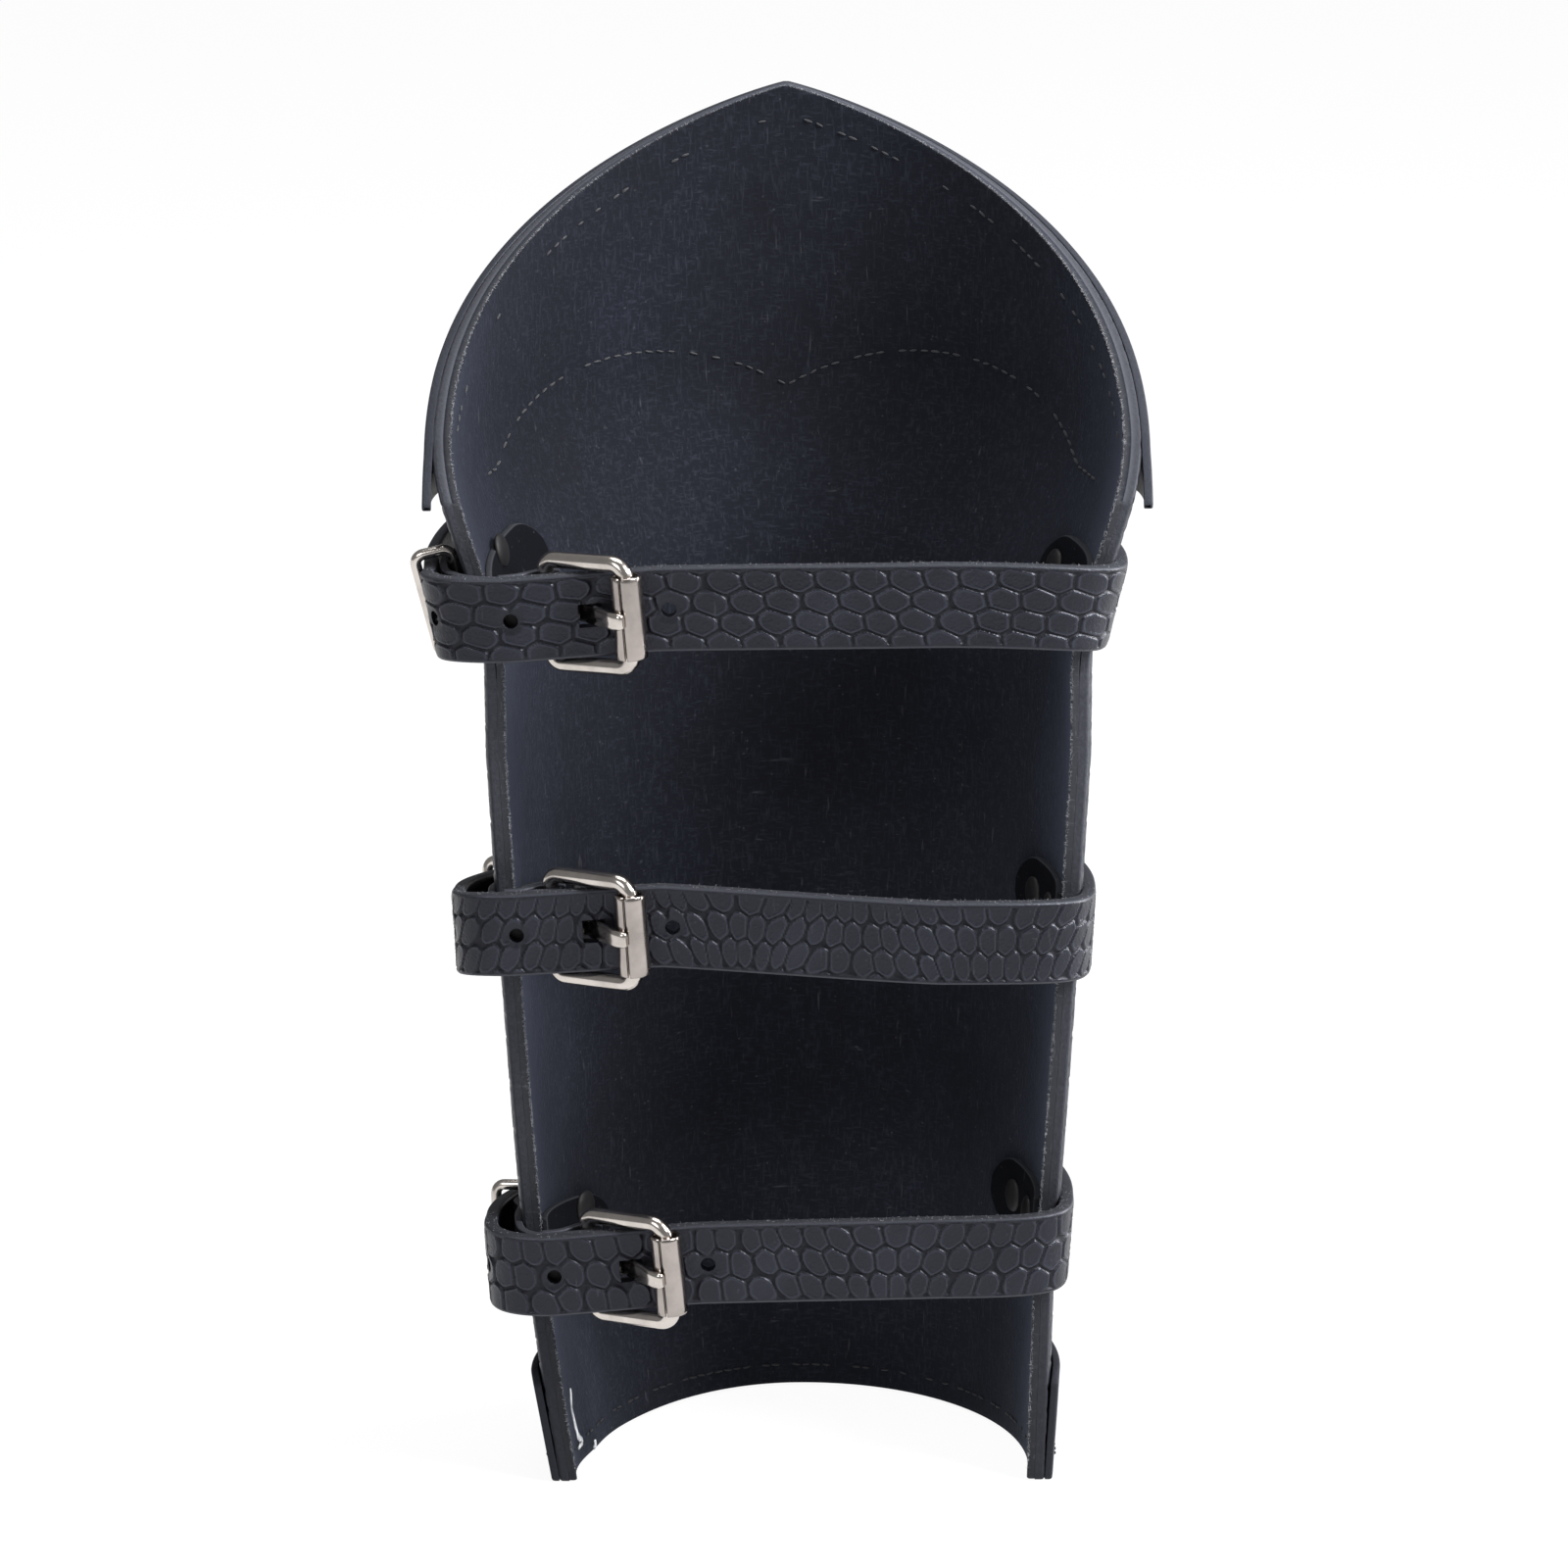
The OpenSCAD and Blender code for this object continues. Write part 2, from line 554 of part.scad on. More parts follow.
hole_count_left = 4;
module strap(k) {
  p = mid_route(k);
  l = lengths(p);
  first = lengths_to_x(p, l, pivot_x(k) + prong_in[0] + 1.2);
  color(black_leather)
  difference() {
    strip(strap_edge(k, -1), strap_edge(k, 1), strap_t);
    at_strap_rivets(k) rivet_hole();
    prong_hole(k);
    for (i = [-1:hole_count_left]) if (i != 0)
      at_length(p, l, first + i * hole_pitch) rotate([90, 0, 0]) cylinder(r = hole_r, h = 12, center = true);
  }
}

// Length of the route at the point of the front run whose x is given
function lengths_to_x(p, l, x) =
  let (i = [for (j = [0:len(p) - 2]) if (p[j][0] >= x && p[j + 1][0] < x && p[j][1] < -edge_y) j][0])
  mix(l[i], l[i + 1], (p[i][0] - x) / (p[i][0] - p[i + 1][0]));

// The fold of an anchor strap round the pivot, seen along the pivot, with a slot for the prong's eye
module fold_outline() {
  circle(fold_r);
  polygon([
    [0, -fold_r], [-fold_back - 1.5, -fold_r], [-fold_back - 1.5, -fold_r + 2 * anchor_t],
    [-6.2, -fold_r + 2 * anchor_t], [-fold_r * sin(36), fold_r * cos(36)], [0, 0],
  ]);
}

fold_rivet_x = -7.6;
fold_sink = 0.5;
module anchor(k) {
  color(black_leather)
  difference() {
    union() {
      strip(anchor_edge(k, -1), anchor_edge(k, 1), anchor_t);
      at_pivot(k) translate([0, 0, -anchor_w / 2]) linear_extrude(height = anchor_w) fold_outline();
    }
    at_pivot(k) {
      cylinder(r = bar_r + running, h = 2 * anchor_w, center = true);
      translate([-bar_r - eye_t - 4 * running, -12, -prong_w / 2 - soft]) cube([24, 24, prong_w + 2 * soft]);
      translate([fold_rivet_x, -fold_r + anchor_t, 0]) rotate([90, 0, 0]) {
        cylinder(r = rivet_r * 0.7 + running, h = 4 * anchor_t, center = true);
        for (side = [-1, 1]) translate([0, 0, side * (2 * anchor_t - fold_sink)])
          cylinder(r = fold_head_r + running, h = 2 * anchor_t, center = true);
      }
    }
    at_anchor_rivets(k) rivet_hole();
  }
}

module fold_rivet(k) {
  color(dark_metal)
  at_pivot(k) translate([fold_rivet_x, -fold_r + anchor_t, 0]) rotate([90, 0, 0]) {
    cylinder(r = rivet_r * 0.7, h = 2 * (anchor_t - fold_sink / 2), center = true);
    for (side = [-1, 1]) translate([0, 0, side * (anchor_t - fold_sink / 2)]) cylinder(r = fold_head_r, h = fold_sink * 0.9, center = true);
  }
}

// A bent bar: straight legs and quarter bends of one radius
module leg(from, to, r) {
  d = to - from;
  translate(from) rotate([0, acos(d[2] / norm(d)), atan2(d[1], d[0])]) cylinder(r = r, h = norm(d));
}

module bend(centre, start, bend_r, r) {
  translate(centre) rotate([90, 0, 0]) rotate([0, 0, start]) rotate_extrude(angle = 90) translate([bend_r, 0]) circle(r);
}

// A closed loop of bar in the XZ plane, from x0 to x1 and as high as 2 * half_h, with its own bend at each end
module loop_of_bar(x0, x1, half_h, r, bend0, bend1) {
  leg([x0, 0, -half_h + bend0], [x0, 0, half_h - bend0], r);
  leg([x1, 0, -half_h + bend1], [x1, 0, half_h - bend1], r);
  for (side = [-1, 1]) leg([x0 + bend0, 0, side * half_h], [x1 - bend1, 0, side * half_h], r);
  bend([x0 + bend0, 0, half_h - bend0], 90, bend0, r);
  bend([x0 + bend0, 0, -half_h + bend0], 180, bend0, r);
  bend([x1 - bend1, 0, half_h - bend1], 0, bend1, r);
  bend([x1 - bend1, 0, -half_h + bend1], 270, bend1, r);
}

module buckle_frame(k) {
  color(nickel)
  at_pivot(k) rotate([0, 0, -buckle_tilt])
    loop_of_bar(0, buckle_l, buckle_in / 2 + bar_r, bar_r, pivot_bend, roller_bend);
}

module roller(k) {
  color(nickel)
  at_pivot(k) translate([roller_dx, -roller_stand, 0]) difference() {
    cylinder(r = roller_r, h = roller_l, center = true);
    cylinder(r = roller_r - roller_wall, h = roller_l + 2, center = true);
    rotate([0, 0, 215]) translate([0, -roller_seam / 2, -roller_l]) cube([2 * roller_r, roller_seam, 2 * roller_l]);
  }
}

module prong(k) {
  color(nickel)
  at_pivot(k) translate([0, 0, -prong_w / 2]) difference() {
    linear_extrude(height = prong_w) {
      circle(bar_r + running + eye_t);
      mirror([0, 1]) thick_line(prong_line(), prong_t);
    }
    translate([0, 0, -1]) cylinder(r = bar_r + running, h = prong_w + 2);
  }
}

module keeper_ring(k) {
  color(nickel)
  on_shell(ring_a(k), ring_z(k)) translate([0, 0, ring_lift(k)]) rotate([fall_turn(k), 0, 0])
    loop_of_bar(ring_first(k), ring_out(k), ring_half(k), ring_r, ring_bend, ring_bend);
}

// A backing tab on the lining, from the front edge to a round end; side 1 is the right and -1 the left
tab_front = 2;
module backing_tab(side, z, reach, turn = 0) {
  color(black_leather)
  difference() {
    intersection() {
      band(z - 1.5 * tab_w, z + 1.5 * tab_w, -lining_in - bond - tab_t, -lining_in - bond);
      translate([side > 0 ? 0 : -deep, 0, 0]) rotate([90, 0, 90]) linear_extrude(height = deep)
        translate([0, z]) rotate(turn) {
          translate([-edge_y + tab_front, -tab_w / 2]) square([reach + edge_y - tab_front - tab_w / 2, tab_w]);
          translate([reach - tab_w / 2, 0]) circle(tab_w / 2);
        }
    }
    all_rivet_holes();
  }
}

// The anchor straps' tabs follow the fall of the straps and reach past the rivets
function rivet_y(k) = mid_r(left_z(k)) * sin(rivet_a(k));
module anchor_tab(k) {
  backing_tab(-1, left_z(k), max(anchor_tab_l, rivet_y(k) + 0.45 * tab_w), atan((side_z(k, rivet_a(k)) - left_z(k)) / rivet_y(k)));
}

// A rivet through everything from a strip of the given thickness to the backing tab, which lies lower where the shell is hollow
module rivet(strip_t, low) {
  outer = strip_t + 3 * bond;
  inner = lining_in + bond + tab_t + seat + low;
  rotate([0, 90, 0]) {
    translate([0, 0, -inner - 0.1]) cylinder(r = rivet_r, h = inner + outer + 0.2);
    translate([0, 0, outer]) cylinder(r1 = rivet_head_r, r2 = rivet_head_r * 0.62, h = rivet_head_h);
    translate([0, 0, -inner - rivet_head_h * 0.6]) cylinder(r = rivet_head_r * 0.9, h = rivet_head_h * 0.6);
  }
}

// The deepest hollow under a rivet's head, for heads at the given distances from the middle of the strap
function deepest(z, hs) = max([for (h = hs, side = [-1, 0, 1]) hollow(z, h + side * rivet_head_r)]);
module strap_rivets(k) {
  color(dark_metal) at_strap_rivets(k) rivet(strap_t, deepest(right_z(k), [0]));
}
module anchor_rivets(k) {
  color(dark_metal) at_anchor_rivets(k) rivet(anchor_t, deepest(side_z(k, rivet_a(k)), [-rivet_pitch / 2, rivet_pitch / 2]));
}

outer_shell();
suede_lining();
elbow_plate();
wrist_cuff();
arch_seam();
lobed_seam();
wrist_seam();
strap(UPPER);  // upper_strap
strap(MIDDLE);  // middle_strap
strap(LOWER);  // lower_strap
anchor(UPPER);  // upper_anchor
anchor(MIDDLE);  // middle_anchor
anchor(LOWER);  // lower_anchor
buckle_frame(UPPER);  // upper_buckle_frame
buckle_frame(MIDDLE);  // middle_buckle_frame
buckle_frame(LOWER);  // lower_buckle_frame
roller(UPPER);  // upper_roller
roller(MIDDLE);  // middle_roller
roller(LOWER);  // lower_roller
prong(UPPER);  // upper_prong
prong(MIDDLE);  // middle_prong
prong(LOWER);  // lower_prong
keeper_ring(UPPER);  // upper_keeper_ring
keeper_ring(MIDDLE);  // middle_keeper_ring
keeper_ring(LOWER);  // lower_keeper_ring
backing_tab(1, right_z(UPPER), strap_tab_l);  // upper_strap_tab
backing_tab(1, right_z(MIDDLE), strap_tab_l);  // middle_strap_tab
backing_tab(1, right_z(LOWER), strap_tab_l);  // lower_strap_tab
anchor_tab(UPPER);  // upper_anchor_tab
anchor_tab(MIDDLE);  // middle_anchor_tab
anchor_tab(LOWER);  // lower_anchor_tab
strap_rivets(UPPER);  // upper_strap_rivets
strap_rivets(MIDDLE);  // middle_strap_rivets
strap_rivets(LOWER);  // lower_strap_rivets
anchor_rivets(UPPER);  // upper_anchor_rivets
anchor_rivets(MIDDLE);  // middle_anchor_rivets
anchor_rivets(LOWER);  // lower_anchor_rivets
fold_rivet(UPPER);  // upper_fold_rivet
fold_rivet(MIDDLE);  // middle_fold_rivet
fold_rivet(LOWER);  // lower_fold_rivet
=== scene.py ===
# Forearm bracer of black leather with a suede lining, scale-embossed straps and nickel roller buckles.
# Lengths are in millimetres until a mesh is made; the scene itself is in metres.
import math
import bmesh
import bpy
import numpy as np
from mathutils import Euler, Matrix, Vector


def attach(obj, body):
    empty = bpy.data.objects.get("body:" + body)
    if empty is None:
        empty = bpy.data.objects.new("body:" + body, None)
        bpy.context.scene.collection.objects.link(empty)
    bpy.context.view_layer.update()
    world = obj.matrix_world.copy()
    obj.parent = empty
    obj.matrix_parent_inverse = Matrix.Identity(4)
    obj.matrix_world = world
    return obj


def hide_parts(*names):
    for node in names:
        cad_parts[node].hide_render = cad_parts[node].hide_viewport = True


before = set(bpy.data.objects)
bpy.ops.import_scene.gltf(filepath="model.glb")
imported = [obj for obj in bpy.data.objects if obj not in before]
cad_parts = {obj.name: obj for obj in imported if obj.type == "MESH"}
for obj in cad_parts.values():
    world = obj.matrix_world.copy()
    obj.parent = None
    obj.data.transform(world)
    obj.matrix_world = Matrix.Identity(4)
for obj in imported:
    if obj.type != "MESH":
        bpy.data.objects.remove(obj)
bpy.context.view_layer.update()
MM = 0.001


# Camera at the photograph's viewing angle
def make_camera():
    camera = bpy.data.objects.new("camera", bpy.data.cameras.new("camera"))
    bpy.context.collection.objects.link(camera)
    down = 16.146
    roll = 0.2
    camera.data.lens = 145.44
    camera.data.sensor_width = 36
    camera.data.shift_x = -0.0028
    camera.data.clip_start = 0.05
    camera.data.clip_end = 20
    camera.location = (0, -1.36, 0.5579)
    turn = Euler((math.radians(90 - down), 0, 0)).to_matrix() @ Matrix.Rotation(math.radians(-roll), 3, "Z")
    camera.rotation_euler = turn.to_euler()
    bpy.context.scene.camera = camera


make_camera()

# Sizes of the leather work
SHELL_H = 309
WRIST_R, WAIST_R, WAIST_Z = 56, 67, 173
ELBOW_R, FLARE_Z, FLARE_H = 78, 192, 53
ARCH_Z = 240
LEATHER_T, LINING_T = 2.1, 1.7
EDGE_Y = 8
PLATE_T, PLATE_FLARE, PLATE_LOW_Z = 2.0, 0.9, 229
LOBE_R, LOBE_S, LOBE_Z = 68, 35.7, 176.5
CUFF_H, CUFF_T, CUFF_FLARE, CUFF_CORNER = 26.5, 1.8, 0.8, 3.0
EDGE_SEAM_IN, LOBE_SEAM_IN, WRIST_SEAM_Z = 6.5, 4.0, 5.0
STRAP_W, STRAP_T = 19.0, 3.2
ANCHOR_W, ANCHOR_T, ANCHOR_STAND = 18.0, 1.8, 9.6
HOLE_PITCH, HOLE_R, TAIL_L = 17.5, 1.65, 33.0
TAB_W, TAB_T, STRAP_TAB_L, ANCHOR_TAB_L = 18.0, 1.5, 31.0, 38.0
BAR_R, BUCKLE_L, BUCKLE_IN = 1.85, 21.0, 19.8
ROLLER_BEND, PIVOT_BEND = 3.5, 2.6
ROLLER_R, ROLLER_WALL, ROLLER_L, ROLLER_SEAM = 3.5, 0.85, 18.6, 0.7
PRONG_W, PRONG_T, EYE_T = 4.6, 2.0, 1.3
RING_R, RING_BEND, RING_IN = 1.25, 2.1, 20.0
RIVET_R, RIVET_H, RIVET_PITCH = 3.8, 1.2, 9.8
BOND, RUNNING, SOFT = 0.1, 0.08, 0.3
LINING_OUT = LEATHER_T + BOND
LINING_IN = LINING_OUT + LINING_T
LINING_LIFT = 0.3
SIDE_A, CUFF_CORNER_A = 6.5, 3.5

# The three straps: heights of the left bend, the pivot bar, the front and the fixed end, the buckle's slope
# and place, how far the front bows out, the ring's angle, and the fall and bulge behind the left bend. In the
# functions below, n is a strap's name and k its row of sizes.
STRAPS = {
    "upper": dict(left=206, pivot=208, front=210.7, right=207.4, slope=4.5, x=-52.4,
                  bow=1, ring=180, fall=-0.12, bulge=8.3),
    "middle": dict(left=132.3, pivot=135.9, front=134.3, right=132, slope=3.5, x=-52.4,
                   bow=4, ring=158, fall=0.2, bulge=8),
    "lower": dict(left=54.3, pivot=55.5, front=59.1, right=59.3, slope=5, x=-45,
                  bow=1, ring=165, fall=0.15, bulge=6.8),
}


def ease(t):
    t = np.clip(t, 0, 1)
    return t * t * (3 - 2 * t)


def taper(t):
    t = np.clip(t, 0, 1)
    return t * (1.3 - 0.3 * t)


def shell_r(z):
    body = (WAIST_R - WRIST_R) * taper(z / WAIST_Z)
    flare = (ELBOW_R - WAIST_R) * ease((z - FLARE_Z) / FLARE_H)
    return WRIST_R + body + flare


def mix(a, b, t):
    return a + (b - a) * t


def around(r, a, z):
    rad = np.radians(a)
    return np.stack(np.broadcast_arrays(r * np.cos(rad), r * np.sin(rad), z), -1)


# The wrist end has settled a little to the right, and its left wall has been pressed in, as worn leather does
SETTLE_Z, SETTLE_X, SETTLE_POWER = 50.0, 2.6, 1.1
PRESSED_IN, PRESSED_FROM_A, PRESSED_RISE, PRESSED_TO_A, PRESSED_FALL = 3.2, 92, 55, 187, 24


def settled(points):
    """Points of the round shell moved to where the worn leather lies below SETTLE_Z."""
    x, y, z = np.moveaxis(np.asarray(points, float), -1, 0)
    share = np.clip((SETTLE_Z - z) / SETTLE_Z, 0, 1) ** SETTLE_POWER
    a = np.mod(np.degrees(np.arctan2(y, x)) + 90, 360) - 90
    inward = PRESSED_IN * share * ease((PRESSED_TO_A - a) / PRESSED_FALL)
    inward = inward * ease((a - PRESSED_FROM_A) / PRESSED_RISE)
    rad = np.radians(a)
    return np.stack([x + SETTLE_X * share - inward * np.cos(rad), y - inward * np.sin(rad), z], -1)


def mid_r(z):
    return (shell_r(z + STRAP_W / 2) + shell_r(z - STRAP_W / 2)) / 2


def lean_tan(z):
    return (shell_r(z + STRAP_W / 2) - shell_r(z - STRAP_W / 2)) / STRAP_W


def chord_r(z, h):
    return mid_r(z) + h * lean_tan(z)


def proud(z, h):
    return shell_r(z + h) - chord_r(z, h)


def round_up(x):
    return math.ceil(20 * x - 0.001) / 20


# Edges of the shell, the elbow plate and the seams, as heights at an angle round the shell
def past_side(a):
    return np.clip(np.maximum(-a, a - 180), 0, SIDE_A)


def arch_edge(a):
    """A pointed arch over the half circle, which falls a little past the sides."""
    off_top = np.power(np.abs(np.cos(np.radians(a))), 1.1)
    arch = ARCH_Z + (SHELL_H - ARCH_Z) * np.power(np.clip(1 - off_top, 0, 1), 0.4)
    return np.where(past_side(a) > 0, ARCH_Z - 1.5 * past_side(a), arch)


def cuff_edge(a):
    """The cuff's upper edge, with a corner cut off at each long edge."""
    return CUFF_H - np.clip(np.maximum(-a, a - 180) - CUFF_CORNER_A, 0, CUFF_CORNER)


def round_s(a):
    return np.radians(a - 90) * (ELBOW_R - 4)


def angle_at(s):
    return 90 + np.degrees(s / (ELBOW_R - 4))


LOBE_END = 63


def lobe_height(a, r):
    return LOBE_Z + np.sqrt(np.maximum(r * r - (np.abs(round_s(a)) - LOBE_S) ** 2, 0))


def plate_edge(a):
    off = np.abs(a - 90)
    side = mix(lobe_height(90 + LOBE_END, LOBE_R), PLATE_LOW_Z, np.minimum((off - LOBE_END) / 30, 1))
    return np.where(off <= LOBE_END, lobe_height(a, LOBE_R), side)


def plate_r(z):
    return ELBOW_R + BOND + PLATE_FLARE * np.clip((ARCH_Z - z) / (ARCH_Z - PLATE_LOW_Z + 8), 0, 1)


def cuff_r(z):
    return mix(WRIST_R, shell_r(CUFF_H) + CUFF_FLARE, z / CUFF_H) + BOND


# Repeatable smooth noise, one value for each point, as a sum of waves
NOISE_WAVES = 9


def soft_noise(x, y, seed, scale):
    value = np.zeros(np.broadcast(x, y).shape)
    draw = np.random.default_rng(seed)
    for _ in range(NOISE_WAVES):
        direction = draw.uniform(0, 2 * math.pi)
        phase = draw.uniform(0, 2 * math.pi)
        pace = draw.uniform(0.5, 2.2)
        ahead = x * math.cos(direction) + y * math.sin(direction)
        value += np.sin(ahead * pace * 2 * math.pi / scale + phase)
    return value / NOISE_WAVES


# Scale emboss: flat plates with a raised rim on a staggered lattice, with a groove between them
RIM_HEIGHT, RIM_PLACE, RIM_WIDTH = 0.26, 1.3, 0.5
PLATE_REACH = 0.545


def lattice_hash(i, j, salt):
    """A repeatable value from 0 to 1 for each place of the lattice."""
    value = np.sin(i * 127.1 + j * 311.7 + salt * 74.7) * 43758.5453
    return value - np.floor(value)


def scales(p, q, width, height, salt, jitter=0.14, groove=0.5, stagger=0.5, tall=0.87, turn=0.0):
    """Relief from 0 in a groove to 1 on a plate and more on its rim, at lattice places p along and q across.

    A plate is one lattice step wide and high; tall sets how near it comes to its neighbours above and below,
    and turn leans its long axis."""
    row = np.floor(q)
    best = np.full(np.broadcast(p, q).shape, 1e9)
    second = best.copy()
    squash = tall * width / height
    cos_t, sin_t = np.cos(turn), np.sin(turn)
    for dj in (-1, 0, 1):
        j = row + dj
        shift = np.mod(stagger * j, 1)
        column = np.floor(p - shift)
        for di in (-1, 0, 1):
            i = column + di
            dx = width * (p - (i + 0.5 + shift + jitter * (lattice_hash(i, j, salt) - 0.5)))
            dy = height * (q - (j + 0.5 + jitter * (lattice_hash(i, j, salt + 3) - 0.5)))
            far = np.hypot(dx * cos_t + dy * sin_t, squash * (dy * cos_t - dx * sin_t))
            second = np.minimum(second, np.maximum(best, far))
            best = np.minimum(best, far)
    deep = np.maximum(np.minimum((second - best) / 2, PLATE_REACH * width - best), 0) * (0.5 + 0.5 / squash)
    rim = RIM_HEIGHT * np.exp(-((deep / groove - RIM_PLACE) / RIM_WIDTH) ** 2)
    return ease(deep / groove) + rim


# Meshes
def link(name, mesh):
    piece = bpy.data.objects.new(name, mesh)
    bpy.context.collection.objects.link(piece)
    return piece


def mesh_from(name, points, faces, smooth=True, attributes=None):
    mesh = bpy.data.meshes.new(name)
    mesh.from_pydata((np.asarray(points) * MM).tolist(), [], faces)
    for key, values in (attributes or {}).items():
        layer = mesh.attributes.new(key, "FLOAT", "POINT")
        layer.data.foreach_set("value", np.asarray(values, np.float32).ravel())
    if smooth:
        mesh.polygons.foreach_set("use_smooth", [True] * len(mesh.polygons))
    mesh.update()
    work = bmesh.new()
    work.from_mesh(mesh)
    caps = [f for f in work.faces if len(f.verts) > 6]
    if caps:
        # flat ends keep a crisp border, so that two glued layers read as one edge
        for face in bmesh.ops.triangulate(work, faces=caps)["faces"]:
            face.smooth = False
    bmesh.ops.recalc_face_normals(work, faces=work.faces)
    work.to_mesh(mesh)
    work.free()
    return link(name, mesh)


def tube_faces(count, ring, capped=True, closed=False):
    """Faces between rings of points: count rings of ring points each."""
    faces = []
    for i in range(count if closed else count - 1):
        a, b = i * ring, ((i + 1) % count) * ring
        faces.extend([(a + j, a + (j + 1) % ring, b + (j + 1) % ring, b + j) for j in range(ring)])
    if capped and not closed:
        faces.append(tuple(range(ring - 1, -1, -1)))
        faces.append(tuple(range((count - 1) * ring, count * ring)))
    return faces


def dress(piece, material, slot, body, *nodes):
    """Gives a piece its material, its body and the solids that it stands for; the slot is not used."""
    piece.data.materials.clear()
    piece.data.materials.append(material)
    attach(piece, body)
    if nodes:
        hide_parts(*nodes)
    return piece


# Angles of an eased corner, how far relief keeps from the long edges, and the share of a wall that shows
# as cut
QUARTER = np.radians([0, 30, 60, 90])
RELIEF_BORDER, CUT_SHARE = 1.5, 0.08


def wall_loop(low, high, thick, eases, outer_rows, inner_rows, insets):
    """One closed section of a leather wall, as heights and depths of outer face, inner face and cut edges."""
    low, high, t = low + insets[0], high - insets[0], thick - sum(insets)
    eo, ei = (min(e, 0.45 * t) for e in eases)
    fo = np.linspace(0, 1, outer_rows)
    fi = np.linspace(1, 0, inner_rows)
    f = QUARTER[1:-1]
    rise, turn = 1 - np.sin(f), 1 - np.cos(f)
    z = [mix(low + eo, high - eo, fo), high - eo * rise, [high, high], high - ei * turn]
    d = [np.zeros(outer_rows), eo * turn, [eo, t - ei], t - ei * rise]
    z += [mix(low + ei, high - ei, fi), low + ei * rise, [low, low], low + eo * turn]
    d += [np.full(inner_rows, t), t - ei * turn, [t - ei, eo], eo * rise]
    return np.concatenate(z), np.concatenate(d) + insets[0]


def wall(name, low, high, outer_r, thick, columns, outer_rows, inner_rows, eases,
         outer_relief=None, inner_relief=None):
    """A wall of leather round the trough, from low to high, that ends in the plane of the long edges."""
    total = math.pi * float(outer_r(120.0)) + 2 * EDGE_Y
    e = max(eases)
    starts = [(e * (1 - math.sin(f)) / total, 1 - math.cos(f)) for f in QUARTER[::-1]][::-1]
    starts = sorted(starts, key=lambda place: place[0])
    inner = [(u, 0.0) for u in np.linspace(e / total, 1 - e / total, columns)][1:-1]
    stations = starts + inner + [(1 - u, share) for u, share in reversed(starts)]
    points, cuts, relief = [], [], []
    for u, share in stations:
        a_mid = mix(-SIDE_A, 180 + SIDE_A, u)
        insets = (eases[0] * share, eases[1] * share)
        z, d = wall_loop(float(low(a_mid)), float(high(a_mid)), thick, eases, outer_rows, inner_rows, insets)
        r = outer_r(z) - d
        reach = np.degrees(np.arcsin(EDGE_Y / r))
        a = mix(-reach, 180 + reach, u)
        s = np.radians(a - 90) * r
        up = np.zeros(len(z))
        outside = d <= 1e-6
        inside = d >= thick - 1e-6
        fade = np.clip(np.minimum(u, 1 - u) * total / RELIEF_BORDER, 0, 1)
        if outer_relief is not None:
            up = np.where(outside, outer_relief(s, z) * fade, up)
        if inner_relief is not None:
            up = np.where(inside, -inner_relief(s, z) * fade, up)
        points.append(settled(around(r + up, a, z)))
        edge = np.clip(np.minimum(d, thick - d) / (CUT_SHARE * thick), 0, 1)
        cuts.append(np.where(share > 0, 1, edge))
        relief.append(up)
    ring = len(points[0])
    return mesh_from(name, np.concatenate(points), tube_faces(len(stations), ring), True,
                     {"cut": np.concatenate(cuts), "relief": np.concatenate(relief)})


# Straps of leather along a course between two edge lines
SMOOTHING, TIP_START, STRIP_BORDER = 1.6, 0.25, 0.7


def smoothed(line, weights):
    """A line under a moving average, which keeps its two ends."""
    reach = len(weights) // 2
    before = 2 * line[:1] - line[reach:0:-1]
    after = 2 * line[-1:] - line[-2:-reach - 2:-1]
    padded = np.concatenate([before, line, after])
    return np.stack([np.convolve(column, weights, "valid") for column in padded.T], -1)


def bell(reach, width):
    """Weights of a moving average that reaches so many points each way."""
    weights = np.exp(-0.5 * (np.arange(-reach, reach + 1) / width) ** 2)
    return weights / weights.sum()


def resample(low, high, step):
    """Both edge lines at even steps of the middle line, slightly smoothed."""
    middle = (low + high) / 2
    keep = np.concatenate([[True], np.linalg.norm(np.diff(middle, axis=0), axis=1) > 1e-4])
    low, high, middle = low[keep], high[keep], middle[keep]
    run = np.concatenate([[0], np.cumsum(np.linalg.norm(np.diff(middle, axis=0), axis=1))])
    n = int(run[-1] / step) + 1
    at = np.linspace(0, run[-1], n)
    reach = int(SMOOTHING / step)
    weights = bell(2 * reach, reach)
    lines = []
    for line in (low, high):
        even = np.stack([np.interp(at, run, line[:, i]) for i in range(3)], -1)
        lines.append(smoothed(even, weights))
    return lines[0], lines[1], at


